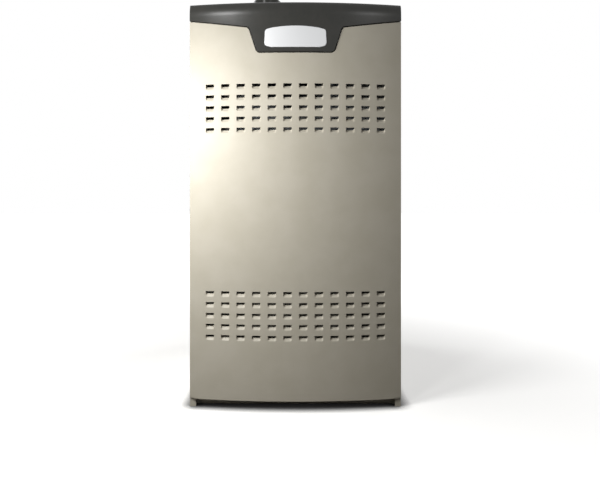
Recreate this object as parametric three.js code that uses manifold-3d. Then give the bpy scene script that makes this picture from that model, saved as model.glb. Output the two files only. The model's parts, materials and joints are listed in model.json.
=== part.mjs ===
// A forced air gas furnace: a tall sheet metal cabinet behind one bowed, louvred door.
// Millimetres, +Z up, the front faces -Y, and the origin is under the middle of the cabinet.
import * as THREE from 'three';
import { mergeVertices, mergeGeometries } from 'three/addons/utils/BufferGeometryUtils.js';
import Module from 'manifold-3d';

// ---------------------------------------------------------------- driving dimensions
// Cabinet
const CABINET_WIDTH = 533.4;
const CABINET_HEIGHT = 1016;
const OVERALL_DEPTH = 725;
const SHEET = 1.2; // wall of every folded steel part
const SEAT = 0.3; // gap between two parts that touch
const FRONT_FLANGE = 13; // the cabinet sides turn in by this at the front
const LINER = 12; // insulation inside the heated part
const TOP_LIP = 16; // folded edge under the top panel
const DUCT_FLANGE = 19; // upturned edge round the supply opening
const SUPPLY_MARGIN = 30; // from the cabinet's inner walls to the supply opening
const BASE_EDGE = 24; // upturned edge round the base pan
const TOE_SETBACK = 4; // the door's side edge to the feet under it
const RETURN_WIDTH = 400;
const RETURN_DEPTH = 480;
const RETURN_Y = 60;

// Door
const DOOR_BOW = 24.5; // how far the middle stands ahead of the side edges
const DOOR_RETURN = 22; // depth of the folded side edges
const DOOR_GAP = 1; // door to cabinet
const DOOR_BOTTOM = 21.5;
const CAP_PROUD = 3; // the cap stands ahead of the door by this
const REVEAL = 2; // dark line between cap and door
const STIFFENER_DEPTH = 11;
const STIFFENER_HEIGHT = 34;
const STIFFENER_MARGIN = 8; // cabinet side to its ends
const STIFFENER_RISE = 28; // louvres to the upper one
const PAD_THICKNESS = 8;
const PAD_MARGIN = 20; // cabinet side to its ends
const PAD_GAP = 8; // stiffener to the pad
const PAD_LOUVRE_GAP = 10;
const STUD_RADIUS = 4;
const STUD_FOOT = 9; // radius of the foot on the skin
const STUD_INSET = 34.7; // cabinet side to the stud
const STUD_DROP = 69; // cabinet top to the stud

// Louvres, in two groups
const LOUVRE_MARGIN = 30; // the least plain sheet beside them
const LOUVRE_ROWS = 5;
const COLUMN_PITCH = 39;
const ROW_PITCH = 27.3;
const LOUVRE_WIDTH = 21.5;
const LOUVRE_HEIGHT = 14;
const LOUVRE_RISE = 8; // the pressed-in ramp climbs this far
const LOUVRE_DEPTH = 6; // and goes in this far
const LOUVRE_TAPER = 2.75; // each side of the ramp draws in by this
const UPPER_GROUP_DROP = 204.2; // cabinet top to the highest openings
const LOWER_GROUP_TOP = 293.5; // floor to the lower group's highest openings

// Moulded top cap
const CAP_WALL = 3;
const CAP_CROWN_HEIGHT = 34; // the round top edge starts this far under the top
const CAP_CROWN_DEPTH = 12; // and leans back by this
const CAP_TOP_DEPTH = 62; // from its front to its back edge on top
const CAP_SIDE_DROP = 42.5; // top to the lower edge at the sides
const CAP_SHOULDER_HALF = 116; // where the lower edge meets the tab
const CAP_SHOULDER_DROP = 63;
const CAP_TAB_HALF = 95.5;
const CAP_TAB_DROP = 126;
const CAP_CORNER_RADIUS = 11;
const CAP_RIB_THICKNESS = 2.4;
const BADGE_HALF = 78;
const BADGE_HEIGHT = 53;
const BADGE_DROP = 62; // top of the cabinet to the top of the plate
const BADGE_THICKNESS = 2.4;
const BADGE_RECESS = 1.2;
const BADGE_CLEARANCE = 0.5;

// Vent
const VENT_OUTER = 20; // radius of the pipe
const VENT_WALL = 1.6;
const VENT_RISE = 69; // cabinet top to the pipe's end
const COLLAR_RADIUS = 38;
const COLLAR_TOP_RADIUS = 29;
const COLLAR_RISE = 54; // cabinet top to the collar's top
const COLLAR_SHOULDER = 7;
const COLLAR_FLANGE_RADIUS = 50;

// Inner walls
const DECK_HEIGHT = 430; // top of the blower compartment
const DECK_EDGE = 14;
const VESTIBULE_DEPTH = 162; // cabinet front to the heat exchanger's front wall
const HEADER_HEIGHT = 84;
const ACCESS_SIDE = 6.5; // access panel to the cabinet's outer width
const ACCESS_BOTTOM = 25;
const ACCESS_OVERLAP = 16; // access panel above the deck
const SIGHT_RADIUS = 17;
const SIGHT_X = 90;
const SIGHT_DROP = 74; // access panel's top to the glass
const VESTIBULE_FOOT = 14; // folded edge on the deck

// Heat exchanger
const CELL_COUNT = 4;
const CELL_PITCH = 74;
const CELL_WIDTH = 34;
const CELL_TUBE = 46; // height of each pass
const CELL_RISE = 110; // deck to the lowest pass
const CELL_DROP = 167; // cabinet top to the highest pass
const CELL_PASSES = 4;
const CELL_CLEARANCE = 12; // turns to the walls in front and behind
const SUPPORT_SHEET = 2;
const SUPPORT_DEPTH = 26;
const SUPPORT_LEG = 20;

// Burners and gas train
const BURNER_RADIUS = 15;
const BURNER_FLARE = 20;
const BELL_NARROWING = 5; // the throat is this much narrower than the mouth
const BELL_LENGTH = 18;
const BURNER_LENGTH = 88;
const BURNER_GAP = 3; // flared end to the front wall
const RACK_HALF = 166;
const RACK_HEIGHT = 78;
const RACK_SETBACK = 83; // rack plate ahead of the front wall
const MANIFOLD_RADIUS = 12;
const MANIFOLD_SETBACK = 118;
const SPUD_RADIUS = 6;
const VALVE_WIDTH = 78;
const VALVE_HEIGHT = 66;
const VALVE_DEPTH = 62;
const VALVE_INSET = 69.5; // cabinet's inner wall to the valve's middle
const VALVE_RISE = 72; // burners to the valve's underside
const KNOB_RADIUS = 15;
const KNOB_LENGTH = 16;
const GAS_PIPE_RADIUS = 10.7;

// Combustion blower
const COLLECTOR_HALF = 166;
const COLLECTOR_HEIGHT = 82;
const COLLECTOR_DEPTH = 38;
const INDUCER_X = -20;
const INDUCER_DEPTH = 48;
const INDUCER_START = 58; // scroll radius at the tongue
const INDUCER_END = 79; // scroll radius at the outlet
const INDUCER_WALL = 2;
const INDUCER_OUTLET = 44;
const INDUCER_DROP = 90; // cabinet top to the outlet's end
const INDUCER_INLET = 32;
const INDUCER_WHEEL_RADIUS = 50;
const INDUCER_WHEEL_WIDTH = 30;
const INDUCER_VANES = 10;
const INDUCER_MOTOR_RADIUS = 37;
const INDUCER_MOTOR_LENGTH = 46;
const INDUCER_SHAFT = 4;

// Circulating air blower
const BLOWER_Y = 40;
const BLOWER_Z = 212;
const BLOWER_WIDTH = 284;
const BLOWER_START = 148;
const BLOWER_END = 200;
const BLOWER_WALL = 1.5;
const BLOWER_OUTLET = 172;
const BLOWER_INLET = 112;
const WHEEL_RADIUS = 127;
const WHEEL_WIDTH = 250;
const WHEEL_BLADES = 20;
const BLADE_DEPTH = 22;
const WHEEL_RIM = 4;
const WHEEL_SHAFT = 6.35;
const WHEEL_HUB = 20;
const MOTOR_RADIUS = 70;
const MOTOR_LENGTH = 124;
const MOTOR_BAND = 3;
const MOTOR_BAND_WIDTH = 18;
const MOTOR_OUTSIDE = 36; // the motor's end outside the housing

// Controls
const BOX_HALF = 104;
const BOX_HEIGHT = 122;
const BOX_DEPTH = 46;
const BOX_SETBACK = 70; // access panel to the control box's back
const BOARD_WIDTH = 152;
const BOARD_HEIGHT = 98;
const BOARD_THICKNESS = 1.6;
const TRANSFORMER_WIDTH = 58;
const SWITCH_INSET = 70.7; // cabinet side to the switch
const SWITCH_DROP = 18; // access panel's top to the switch
const SWITCH_DEPTH = 12;
const SWITCH_TRAVEL = 4;
const RESET_TRAVEL = 1.5;
const RESET_RADIUS = 2.5;
const ROLLOUT_RADIUS = 11;
const ROLLOUT_HEIGHT = 10;
const ROLLOUT_X = 96;
const PRESSURE_RADIUS = 36;
const PRESSURE_DEPTH = 24;
const PRESSURE_INSET = 59.5; // cabinet's inner wall to the switch's middle
const PRESSURE_DROP = 87; // highest pass to the switch's middle
const HOSE_RADIUS = 3.6;
const JUNCTION_HEIGHT = 96;
const JUNCTION_DEPTH = 64;
const JUNCTION_WIDTH = 52;
const JUNCTION_DROP = 316; // cabinet top to the box's underside
const LIMIT_INSET = 91.5; // cabinet's inner wall to the switch's middle
const LIMIT_RISE = 118; // burners to the limit switch
const LIMIT_WIDTH = 48;
const LIMIT_HEIGHT = 36;
const LIMIT_RADIUS = 11;

// ---------------------------------------------------------------- worked out from them
const HALF_WIDTH = CABINET_WIDTH / 2;
const INNER_HALF = HALF_WIDTH - SHEET;
const BACK = OVERALL_DEPTH / 2;
const INNER_BACK = BACK - SHEET;
const BADGE_PROUD = BADGE_THICKNESS + SEAT - BADGE_RECESS;
const CAP_FRONT = -OVERALL_DEPTH / 2 + BADGE_PROUD;
const DOOR_FRONT = CAP_FRONT + CAP_PROUD;
const DOOR_EDGE = DOOR_FRONT + DOOR_BOW;
const DOOR_BACK = DOOR_EDGE + DOOR_RETURN;
const CABINET_FRONT = DOOR_BACK + DOOR_GAP;
const FLANGE_BACK = CABINET_FRONT + SHEET;
const BOW_RADIUS = (HALF_WIDTH ** 2 + DOOR_BOW ** 2) / (2 * DOOR_BOW);
const SHELL_TOP = CABINET_HEIGHT - CAP_WALL - SEAT;
const CAP_BACK = CAP_FRONT + CAP_TOP_DEPTH;
const PANEL_BOTTOM = SHELL_TOP + SEAT;
const PANEL_TOP = PANEL_BOTTOM + SHEET;
const FRONT_WALL = CABINET_FRONT + VESTIBULE_DEPTH;
const LOUVRE_COLUMNS = Math.floor((CABINET_WIDTH - 2 * LOUVRE_MARGIN) / COLUMN_PITCH);
const UPPER_GROUP_TOP = CABINET_HEIGHT - UPPER_GROUP_DROP;
const STUD_X = HALF_WIDTH - STUD_INSET;
const STUD_Z = CABINET_HEIGHT - STUD_DROP;
const DECK_TOP = DECK_HEIGHT + SHEET;
const ACCESS_TOP = DECK_HEIGHT + ACCESS_OVERLAP;
const SIGHT_Z = ACCESS_TOP - SIGHT_DROP;
const SWITCH_X = HALF_WIDTH - SWITCH_INSET;
const SWITCH_Z = ACCESS_TOP - SWITCH_DROP;
const CELL_FIRST_PASS = DECK_HEIGHT + CELL_RISE;
const CELL_LAST_PASS = CABINET_HEIGHT - CELL_DROP;
const CELL_PASS_PITCH = (CELL_LAST_PASS - CELL_FIRST_PASS) / (CELL_PASSES - 1);
const CELL_REACH = (CELL_PASS_PITCH + CELL_TUBE) / 2 + CELL_CLEARANCE; // turn centre to a wall
const CELL_BACK = INNER_BACK - SEAT - SHEET - SEAT - LINER - CELL_REACH;
const CELL_FRONT_TURN = FRONT_WALL + SHEET + CELL_REACH;
const MANIFOLD_LEFT = VALVE_INSET - INNER_HALF;
const VALVE_BOTTOM = CELL_FIRST_PASS + VALVE_RISE;
const COLLECTOR_FRONT = FRONT_WALL - SEAT - COLLECTOR_DEPTH;
const INDUCER_BACK = COLLECTOR_FRONT - SEAT;
const INDUCER_FRONT = INDUCER_BACK - INDUCER_DEPTH;
const INDUCER_Z = CELL_LAST_PASS;
const INDUCER_TOP = CABINET_HEIGHT - INDUCER_DROP;
const VENT_X = INDUCER_X - INDUCER_END + INDUCER_OUTLET / 2;
const VENT_Y = (INDUCER_BACK + INDUCER_FRONT) / 2;
const VENT_TOP = CABINET_HEIGHT + VENT_RISE;
const COLLAR_TOP = CABINET_HEIGHT + COLLAR_RISE;
const PRESSURE_X = PRESSURE_INSET - INNER_HALF;
const PRESSURE_Z = CELL_LAST_PASS - PRESSURE_DROP;
const JUNCTION_BOTTOM = CABINET_HEIGHT - JUNCTION_DROP;
const STEEL_IN = SHEET + SEAT; // a seat on the far side of a sheet

const wasm = await Module();
wasm.setup();

// ---------------------------------------------------------------- making solids
const ACROSS = new THREE.Matrix4().makeBasis(
  new THREE.Vector3(0, 1, 0), new THREE.Vector3(0, 0, 1), new THREE.Vector3(1, 0, 0));
const INWARD = new THREE.Matrix4().makeBasis(
  new THREE.Vector3(1, 0, 0), new THREE.Vector3(0, 0, 1), new THREE.Vector3(0, -1, 0));

function plain(geometry) {
  const copy = geometry.index ? geometry.toNonIndexed() : geometry.clone();
  copy.deleteAttribute('normal');
  copy.deleteAttribute('uv');
  return mergeVertices(copy, 1e-4);
}

function solid(geometry) {
  const merged = plain(geometry);
  return new wasm.Manifold(new wasm.Mesh({
    numProp: 3,
    vertProperties: new Float32Array(merged.attributes.position.array),
    triVerts: new Uint32Array(merged.index.array),
  }));
}

function geometryOf(manifold) {
  const mesh = manifold.getMesh();
  const geometry = new THREE.BufferGeometry();
  geometry.setAttribute('position', new THREE.BufferAttribute(new Float32Array(mesh.vertProperties), 3));
  geometry.setIndex(new THREE.BufferAttribute(new Uint32Array(mesh.triVerts), 1));
  return geometry;
}

function join(...pieces) {
  return geometryOf(pieces.map(solid).reduce((whole, next) => whole.add(next)));
}

function cut(body, ...tools) {
  return geometryOf(tools.map(solid).reduce((left, next) => left.subtract(next), solid(body)));
}

function common(one, other) {
  return geometryOf(solid(one).intersect(solid(other)));
}

function block(x0, x1, y0, y1, z0, z1) {
  return new THREE.BoxGeometry(x1 - x0, y1 - y0, z1 - z0)
    .translate((x0 + x1) / 2, (y0 + y1) / 2, (z0 + z1) / 2);
}

// A rod along one axis through (u, v), the other two coordinates in the order x, y, z.
function rod(axis, radius, from, to, u, v, sides = 24, endRadius = radius) {
  const geometry = new THREE.CylinderGeometry(endRadius, radius, to - from, sides);
  const middle = (from + to) / 2;
  if (axis === 'x') return geometry.rotateZ(-Math.PI / 2).translate(middle, u, v);
  if (axis === 'y') return geometry.translate(u, middle, v);
  return geometry.rotateX(Math.PI / 2).translate(u, v, middle);
}

// Outlines drawn on the floor, on the front or on the side, and pushed along the third axis.
function upward(outline, z0, z1, holes = []) {
  return extruded(outline, z1 - z0, holes).translate(0, 0, z0);
}

function backward(outline, y0, y1, holes = []) {
  return extruded(outline, y1 - y0, holes).applyMatrix4(INWARD).translate(0, y1, 0);
}

function sideways(outline, x0, x1, holes = []) {
  return extruded(outline, x1 - x0, holes).applyMatrix4(ACROSS).translate(x0, 0, 0);
}

function extruded(outline, depth, holes) {
  const shape = new THREE.Shape(outline);
  shape.holes = holes.map((hole) => new THREE.Path(hole));
  return new THREE.ExtrudeGeometry(shape, { depth, bevelEnabled: false, curveSegments: 8 });
}

function point(x, y) {
  return new THREE.Vector2(x, y);
}

function rectangle(x0, x1, y0, y1) {
  return [point(x0, y0), point(x1, y0), point(x1, y1), point(x0, y1)];
}

function circle(x, y, radius, sides = 24) {
  return Array.from({ length: sides }, (_, i) => {
    const angle = (i / sides) * 2 * Math.PI;
    return point(x + radius * Math.cos(angle), y + radius * Math.sin(angle));
  });
}

// Round the corners of an outline, each by its own radius.
function filleted(corners, radii, steps = 4) {
  return corners.flatMap((corner, i) => {
    const radius = radii[i];
    if (!radius) return [corner];
    const before = corners[(i + corners.length - 1) % corners.length].clone().sub(corner).normalize();
    const after = corners[(i + 1) % corners.length].clone().sub(corner).normalize();
    const half = Math.acos(before.dot(after)) / 2;
    const centre = before.clone().add(after).normalize().multiplyScalar(radius / Math.sin(half)).add(corner);
    const start = before.multiplyScalar(radius / Math.tan(half)).add(corner).sub(centre);
    const end = after.multiplyScalar(radius / Math.tan(half)).add(corner).sub(centre);
    const sweep = Math.atan2(start.cross(end), start.dot(end));
    return Array.from({ length: steps + 1 }, (_, k) => (
      start.clone().rotateAround(point(0, 0), (sweep * k) / steps).add(centre)));
  });
}

// Move every edge of a counter-clockwise outline outwards by the same distance.
function grown(corners, distance) {
  return corners.map((corner, i) => {
    const before = corner.clone().sub(corners[(i + corners.length - 1) % corners.length]).normalize();
    const after = corners[(i + 1) % corners.length].clone().sub(corner).normalize();
    const bisector = point(before.y + after.y, -before.x - after.x).normalize();
    const reach = distance / bisector.dot(point(before.y, -before.x));
    return corner.clone().addScaledVector(bisector, reach);
  });
}

// A revolved part: the profile is [radius, height] pairs that start and end on the axis or close.
function revolved(profile, sides = 24) {
  return new THREE.LatheGeometry(profile.map(([r, h]) => point(r, h)), sides).rotateX(Math.PI / 2);
}

// A pipe of one section along a curve.
function piped(curve, radius, steps, sides = 8) {
  const section = new THREE.Shape(circle(0, 0, radius, sides));
  return new THREE.ExtrudeGeometry(section, { steps, extrudePath: curve, bevelEnabled: false });
}

// ---------------------------------------------------------------- the bow of door and cap
function bowed(x, front) {
  return front + BOW_RADIUS - Math.sqrt(BOW_RADIUS ** 2 - x ** 2);
}

const LOUVRE_FIELD = (LOUVRE_COLUMNS * COLUMN_PITCH) / 2;
const STATIONS = [
  -HALF_WIDTH,
  ...Array.from({ length: LOUVRE_COLUMNS + 1 }, (_, i) => i * COLUMN_PITCH - LOUVRE_FIELD),
  HALF_WIDTH,
];

// The y of the faceted bow between two stations.
function bowedFacet(x, front) {
  const right = Math.max(1, STATIONS.findIndex((station) => station >= x));
  const [x0, x1] = [STATIONS[right - 1], STATIONS[right]];
  return THREE.MathUtils.mapLinear(x, x0, x1, bowed(x0, front), bowed(x1, front));
}

// A band that follows the bow from the left x to the right x.
function bowBand(left, right, frontInset, backInset, z0, z1) {
  const across = [left, ...STATIONS.filter((x) => x > left && x < right), right];
  const front = across.map((x) => point(x, bowedFacet(x, DOOR_FRONT) + frontInset));
  const back = across.map((x) => point(x, bowedFacet(x, DOOR_FRONT) + backInset)).reverse();
  return upward([...front, ...back], z0, z1);
}

// Everything between the bow and a flat back, as one block.
function bowBlock(front, back, z0, z1) {
  const face = STATIONS.map((x) => point(x, bowed(x, front)));
  return upward([...face, point(HALF_WIDTH, back), point(-HALF_WIDTH, back)], z0, z1);
}

// ---------------------------------------------------------------- door
const CAP_CORNERS = [
  point(-CAP_TAB_HALF, CABINET_HEIGHT - CAP_TAB_DROP),
  point(CAP_TAB_HALF, CABINET_HEIGHT - CAP_TAB_DROP),
  point(CAP_SHOULDER_HALF, CABINET_HEIGHT - CAP_SHOULDER_DROP),
  point(HALF_WIDTH, CABINET_HEIGHT - CAP_SIDE_DROP),
  point(HALF_WIDTH, CABINET_HEIGHT),
  point(-HALF_WIDTH, CABINET_HEIGHT),
  point(-HALF_WIDTH, CABINET_HEIGHT - CAP_SIDE_DROP),
  point(-CAP_SHOULDER_HALF, CABINET_HEIGHT - CAP_SHOULDER_DROP),
];

// The cap's front outline, moved out by growth. Spread and rise lengthen it past the cap's block.
function capOutline(growth, spread = 0, rise = 0) {
  const bottom = CAP_CORNER_RADIUS + growth;
  const shoulder = CAP_CORNER_RADIUS - growth;
  const corners = grown(CAP_CORNERS, growth);
  const slope = (corners[3].y - corners[2].y) / (corners[3].x - corners[2].x);
  for (const [side, low, high] of [[1, 3, 4], [-1, 6, 5]]) {
    corners[low].x += side * spread;
    corners[low].y += slope * spread;
    corners[high].x += side * spread;
    corners[high].y += rise;
  }
  return filleted(corners, [bottom, bottom, shoulder, 0, 0, 0, 0, shoulder], 3);
}

// The skin's front is a grid of cells. A louvre cell has a pressed-in ramp under a slot.
function louvreFaces(x0, x1, z0, z1) {
  const [y0, y1] = [bowed(x0, DOOR_FRONT), bowed(x1, DOOR_FRONT)];
  const run = Math.hypot(x1 - x0, y1 - y0);
  const [ux, uy] = [(x1 - x0) / run, (y1 - y0) / run];
  const place = (s, depth, z) => [x0 + ux * s - uy * depth, y0 + uy * s + ux * depth, z];
  const margin = (ROW_PITCH - LOUVRE_HEIGHT) / 2;
  const [left, right] = [(run - LOUVRE_WIDTH) / 2, (run + LOUVRE_WIDTH) / 2];
  const [low, high] = [z0 + margin, z1 - margin];
  const rampTop = low + LOUVRE_RISE;
  const corner = [place(0, 0, z0), place(run, 0, z0), place(run, 0, z1), place(0, 0, z1)];
  const rim = [place(left, 0, low), place(right, 0, low), place(right, 0, high), place(left, 0, high)];
  const lip = [
    place(left + LOUVRE_TAPER, LOUVRE_DEPTH, rampTop),
    place(right - LOUVRE_TAPER, LOUVRE_DEPTH, rampTop),
  ];
  const ring = [0, 1, 2, 3].map((i) => [corner[i], corner[(i + 1) % 4], rim[(i + 1) % 4], rim[i]]);
  return {
    faces: [...ring, [rim[0], rim[1], lip[1], lip[0]], [rim[0], lip[0], rim[3]], [rim[1], rim[2], lip[1]]],
    slot: [rim[2], lip[1], lip[0], rim[3]],
  };
}

function doorSkin() {
  const bands = [DOOR_BOTTOM];
  const rowMargin = (ROW_PITCH - LOUVRE_HEIGHT) / 2;
  for (const top of [LOWER_GROUP_TOP, UPPER_GROUP_TOP]) {
    for (let row = LOUVRE_ROWS; row >= 0; row -= 1) bands.push(top + rowMargin - row * ROW_PITCH);
  }
  bands.push(CABINET_HEIGHT - CAP_SIDE_DROP);
  const triangles = [];
  const fan = (loop, back) => {
    const moved = back ? loop.map(([x, y, z]) => [x, y + SHEET, z]).reverse() : loop;
    for (let i = 2; i < moved.length; i += 1) triangles.push(moved[0], moved[i - 1], moved[i]);
  };
  const wall = (from, to) => {
    const [fromBack, toBack] = [from, to].map(([x, y, z]) => [x, y + SHEET, z]);
    triangles.push(to, from, fromBack, to, fromBack, toBack);
  };
  const isLouvreRow = (row) => (row >= 1 && row <= LOUVRE_ROWS)
    || (row >= LOUVRE_ROWS + 2 && row <= 2 * LOUVRE_ROWS + 1);
  for (let row = 0; row < bands.length - 1; row += 1) {
    for (let column = 0; column < STATIONS.length - 1; column += 1) {
      const [x0, x1, z0, z1] = [STATIONS[column], STATIONS[column + 1], bands[row], bands[row + 1]];
      const [y0, y1] = [bowed(x0, DOOR_FRONT), bowed(x1, DOOR_FRONT)];
      if (isLouvreRow(row) && column > 0 && column <= LOUVRE_COLUMNS) {
        const { faces, slot } = louvreFaces(x0, x1, z0, z1);
        for (const face of faces) {
          fan(face, false);
          fan(face, true);
        }
        slot.forEach((from, i) => wall(from, slot[(i + 1) % slot.length]));
      } else {
        const cell = [[x0, y0, z0], [x1, y1, z0], [x1, y1, z1], [x0, y0, z1]];
        fan(cell, false);
        fan(cell, true);
      }
    }
  }
  const [bottom, top] = [bands[0], bands[bands.length - 1]];
  for (let column = 0; column < STATIONS.length - 1; column += 1) {
    const [x0, x1] = [STATIONS[column], STATIONS[column + 1]];
    wall([x0, bowed(x0, DOOR_FRONT), bottom], [x1, bowed(x1, DOOR_FRONT), bottom]);
    wall([x1, bowed(x1, DOOR_FRONT), top], [x0, bowed(x0, DOOR_FRONT), top]);
  }
  for (let row = 0; row < bands.length - 1; row += 1) {
    wall([HALF_WIDTH, DOOR_EDGE, bands[row]], [HALF_WIDTH, DOOR_EDGE, bands[row + 1]]);
    wall([-HALF_WIDTH, DOOR_EDGE, bands[row + 1]], [-HALF_WIDTH, DOOR_EDGE, bands[row]]);
  }
  const geometry = new THREE.BufferGeometry();
  geometry.setAttribute('position', new THREE.Float32BufferAttribute(triangles.flat(), 3));
  return geometry;
}

function frontDoor() {
  const top = CABINET_HEIGHT - CAP_SIDE_DROP;
  const pan = bowBlock(DOOR_FRONT, DOOR_BACK, DOOR_BOTTOM, top);
  const capEdge = backward(capOutline(REVEAL), DOOR_FRONT - 1, DOOR_BACK + 1);
  const capFold = backward(capOutline(REVEAL + SHEET), DOOR_FRONT - 1, DOOR_BACK + 1);
  const topEdge = common(pan, cut(capFold, capEdge));
  const side = (x) => block(x, x + SHEET, DOOR_EDGE, DOOR_BACK, DOOR_BOTTOM, top);
  const bottomEdge = bowBlock(DOOR_FRONT, DOOR_BACK, DOOR_BOTTOM, DOOR_BOTTOM + SHEET);
  return cut(join(doorSkin(), topEdge, bottomEdge, side(-HALF_WIDTH), side(HALF_WIDTH - SHEET)), capEdge);
}

function stiffener(low) {
  const half = HALF_WIDTH - STIFFENER_MARGIN;
  return bowBand(-half, half, STEEL_IN, STEEL_IN + STIFFENER_DEPTH, low, low + STIFFENER_HEIGHT);
}

function doorPad() {
  const half = HALF_WIDTH - PAD_MARGIN;
  return bowBand(-half, half, STEEL_IN, STEEL_IN + PAD_THICKNESS, SWITCH_Z + STIFFENER_HEIGHT / 2 + PAD_GAP,
    UPPER_GROUP_TOP - LOUVRE_ROWS * ROW_PITCH - PAD_LOUVRE_GAP);
}

// A pin on the back of the door that snaps into a bush in the cabinet.
function doorStud() {
  const foot = bowedFacet(STUD_X + STUD_FOOT, DOOR_FRONT) + STEEL_IN;
  const head = FLANGE_BACK + 9;
  const length = head - foot;
  const profile = [
    [0, 0], [STUD_FOOT, 0], [STUD_FOOT, 2], [STUD_RADIUS, 4], [STUD_RADIUS - 1, length - 7],
    [STUD_RADIUS, length - 4], [STUD_RADIUS - 1.5, length], [0, length],
  ];
  return revolved(profile, 10).rotateX(-Math.PI / 2).translate(0, foot, 0);
}

function studBush() {
  const inner = STUD_RADIUS + 2 * SEAT;
  const outer = inner + 1.7;
  const profile = [
    [inner, -2], [outer + 4, -2], [outer + 4, -SEAT], [outer, -SEAT], [outer, SHEET + SEAT],
    [outer + 3, SHEET + SEAT], [outer + 3, SHEET + 2.5], [inner, SHEET + 2.5], [inner, -2],
  ];
  return revolved(profile, 10).rotateX(-Math.PI / 2);
}

// ---------------------------------------------------------------- top cap
// A block with the bow in front and a round top edge, as the cap's outside or its inside.
function capBlock(inset, back) {
  const top = CABINET_HEIGHT - inset;
  const low = CABINET_HEIGHT - CAP_TAB_DROP - 10;
  const arc = Array.from({ length: 6 }, (_, i) => {
    const angle = (i / 5) * (Math.PI / 2);
    return [(CAP_CROWN_DEPTH - inset) * (1 - Math.cos(angle)),
      top - (CAP_CROWN_HEIGHT - inset) * (1 - Math.sin(angle))];
  });
  const slices = STATIONS.map((x) => {
    const front = bowed(x, CAP_FRONT) + inset;
    return [[front, low], ...arc.map(([y, z]) => [front + y, z]), [back, top], [back, low]]
      .map(([y, z]) => [x, y, z]);
  });
  const triangles = [];
  const count = slices[0].length;
  for (let i = 0; i < slices.length - 1; i += 1) {
    for (let k = 0; k < count; k += 1) {
      const [a, b] = [slices[i][k], slices[i][(k + 1) % count]];
      const [c, d] = [slices[i + 1][k], slices[i + 1][(k + 1) % count]];
      triangles.push(a, c, d, a, d, b);
    }
  }
  const [first, last] = [slices[0], slices[slices.length - 1]];
  for (let k = 1; k < count - 1; k += 1) {
    triangles.push(first[count - 1], first[k - 1], first[k]);
    triangles.push(last[count - 1], last[k], last[k - 1]);
  }
  const geometry = new THREE.BufferGeometry();
  geometry.setAttribute('position', new THREE.Float32BufferAttribute(triangles.flat(), 3));
  return geometry;
}

function badgeOutline(growth) {
  const top = CABINET_HEIGHT - BADGE_DROP + growth;
  const bottom = top - BADGE_HEIGHT - 2 * growth;
  const half = BADGE_HALF + growth;
  const arch = (z, rise, from, to) => Array.from({ length: 7 }, (_, i) => {
    const s = from + ((to - from) * i) / 6;
    return point(s * (half - 18), z + rise * (1 - s * s));
  });
  return filleted(
    [point(-half, bottom + 4), ...arch(bottom, -0.01, -1, 1), point(half, bottom + 4),
      point(half - 2, top - 9), ...arch(top - 5, 5, 1, -1), point(-half + 2, top - 9)],
    [10, 0, 0, 0, 0, 0, 0, 0, 10, 8, 0, 0, 0, 0, 0, 0, 0, 8], 3);
}

function bowSlab(outline, front, thickness) {
  const low = CABINET_HEIGHT - CAP_TAB_DROP;
  const slab = cut(bowBlock(front, CABINET_FRONT, low, CABINET_HEIGHT),
    bowBlock(front + thickness, CABINET_FRONT + 1, low - 1, CABINET_HEIGHT + 1));
  return common(slab, backward(outline, CAP_FRONT - 10, CABINET_FRONT));
}

function topCap() {
  const shell = (inset, reach, spread) => common(capBlock(inset, CAP_BACK + reach),
    backward(capOutline(-inset, spread, 5), CAP_FRONT - 1, CAP_BACK + reach + 1));
  const outside = shell(0, 0, 5);
  const inside = shell(CAP_WALL, 2, 0);
  const ribSpace = shell(CAP_WALL / 2, 1, 0);
  const recess = bowSlab(badgeOutline(BADGE_CLEARANCE), CAP_FRONT - 2, BADGE_RECESS + 2);
  const behind = block(-HALF_WIDTH - 1, HALF_WIDTH + 1, CABINET_FRONT - SEAT, CAP_BACK + 1,
    CABINET_HEIGHT - CAP_TAB_DROP - 1, CABINET_HEIGHT - CAP_WALL + SEAT);
  const ribs = [-190, -64, 64, 190].map((x) => common(ribSpace, block(
    x - CAP_RIB_THICKNESS / 2, x + CAP_RIB_THICKNESS / 2, CAP_FRONT, CABINET_FRONT + 1,
    CABINET_HEIGHT - CAP_TAB_DROP - 1, CABINET_HEIGHT + 1)));
  return cut(join(cut(outside, inside), ...ribs), behind, recess);
}

// ---------------------------------------------------------------- cabinet
function cabinetWrapper() {
  const flange = HALF_WIDTH - FRONT_FLANGE;
  const outline = [
    point(-flange, CABINET_FRONT), point(-flange, FLANGE_BACK), point(-INNER_HALF, FLANGE_BACK),
    point(-INNER_HALF, INNER_BACK), point(INNER_HALF, INNER_BACK), point(INNER_HALF, FLANGE_BACK),
    point(flange, FLANGE_BACK), point(flange, CABINET_FRONT), point(HALF_WIDTH, CABINET_FRONT),
    point(HALF_WIDTH, BACK), point(-HALF_WIDTH, BACK), point(-HALF_WIDTH, CABINET_FRONT),
  ];
  const gasHole = rod('x', GAS_PIPE_RADIUS + 3, -HALF_WIDTH - 1, -INNER_HALF + 1, VALVE_Y, VALVE_Z, 16);
  const wireHole = rod('x', 11, INNER_HALF - 1, HALF_WIDTH + 1, JUNCTION_Y, JUNCTION_MIDDLE, 16);
  return cut(upward(outline, 0, SHELL_TOP), gasHole, wireHole);
}

// A flat tray: a plate with its edges folded up or down, and openings cut through it.
function tray(half, y0, y1, z0, edge, openings) {
  const plate = upward(rectangle(-half, half, y0, y1), z0, z0 + SHEET, openings);
  const wallLow = edge > 0 ? z0 : z0 + SHEET + edge;
  const wallHigh = edge > 0 ? z0 + edge : z0 + SHEET;
  const rim = upward(rectangle(-half, half, y0, y1), wallLow, wallHigh,
    [rectangle(-half + SHEET, half - SHEET, y0 + SHEET, y1 - SHEET)]);
  return join(plate, rim);
}

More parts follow.
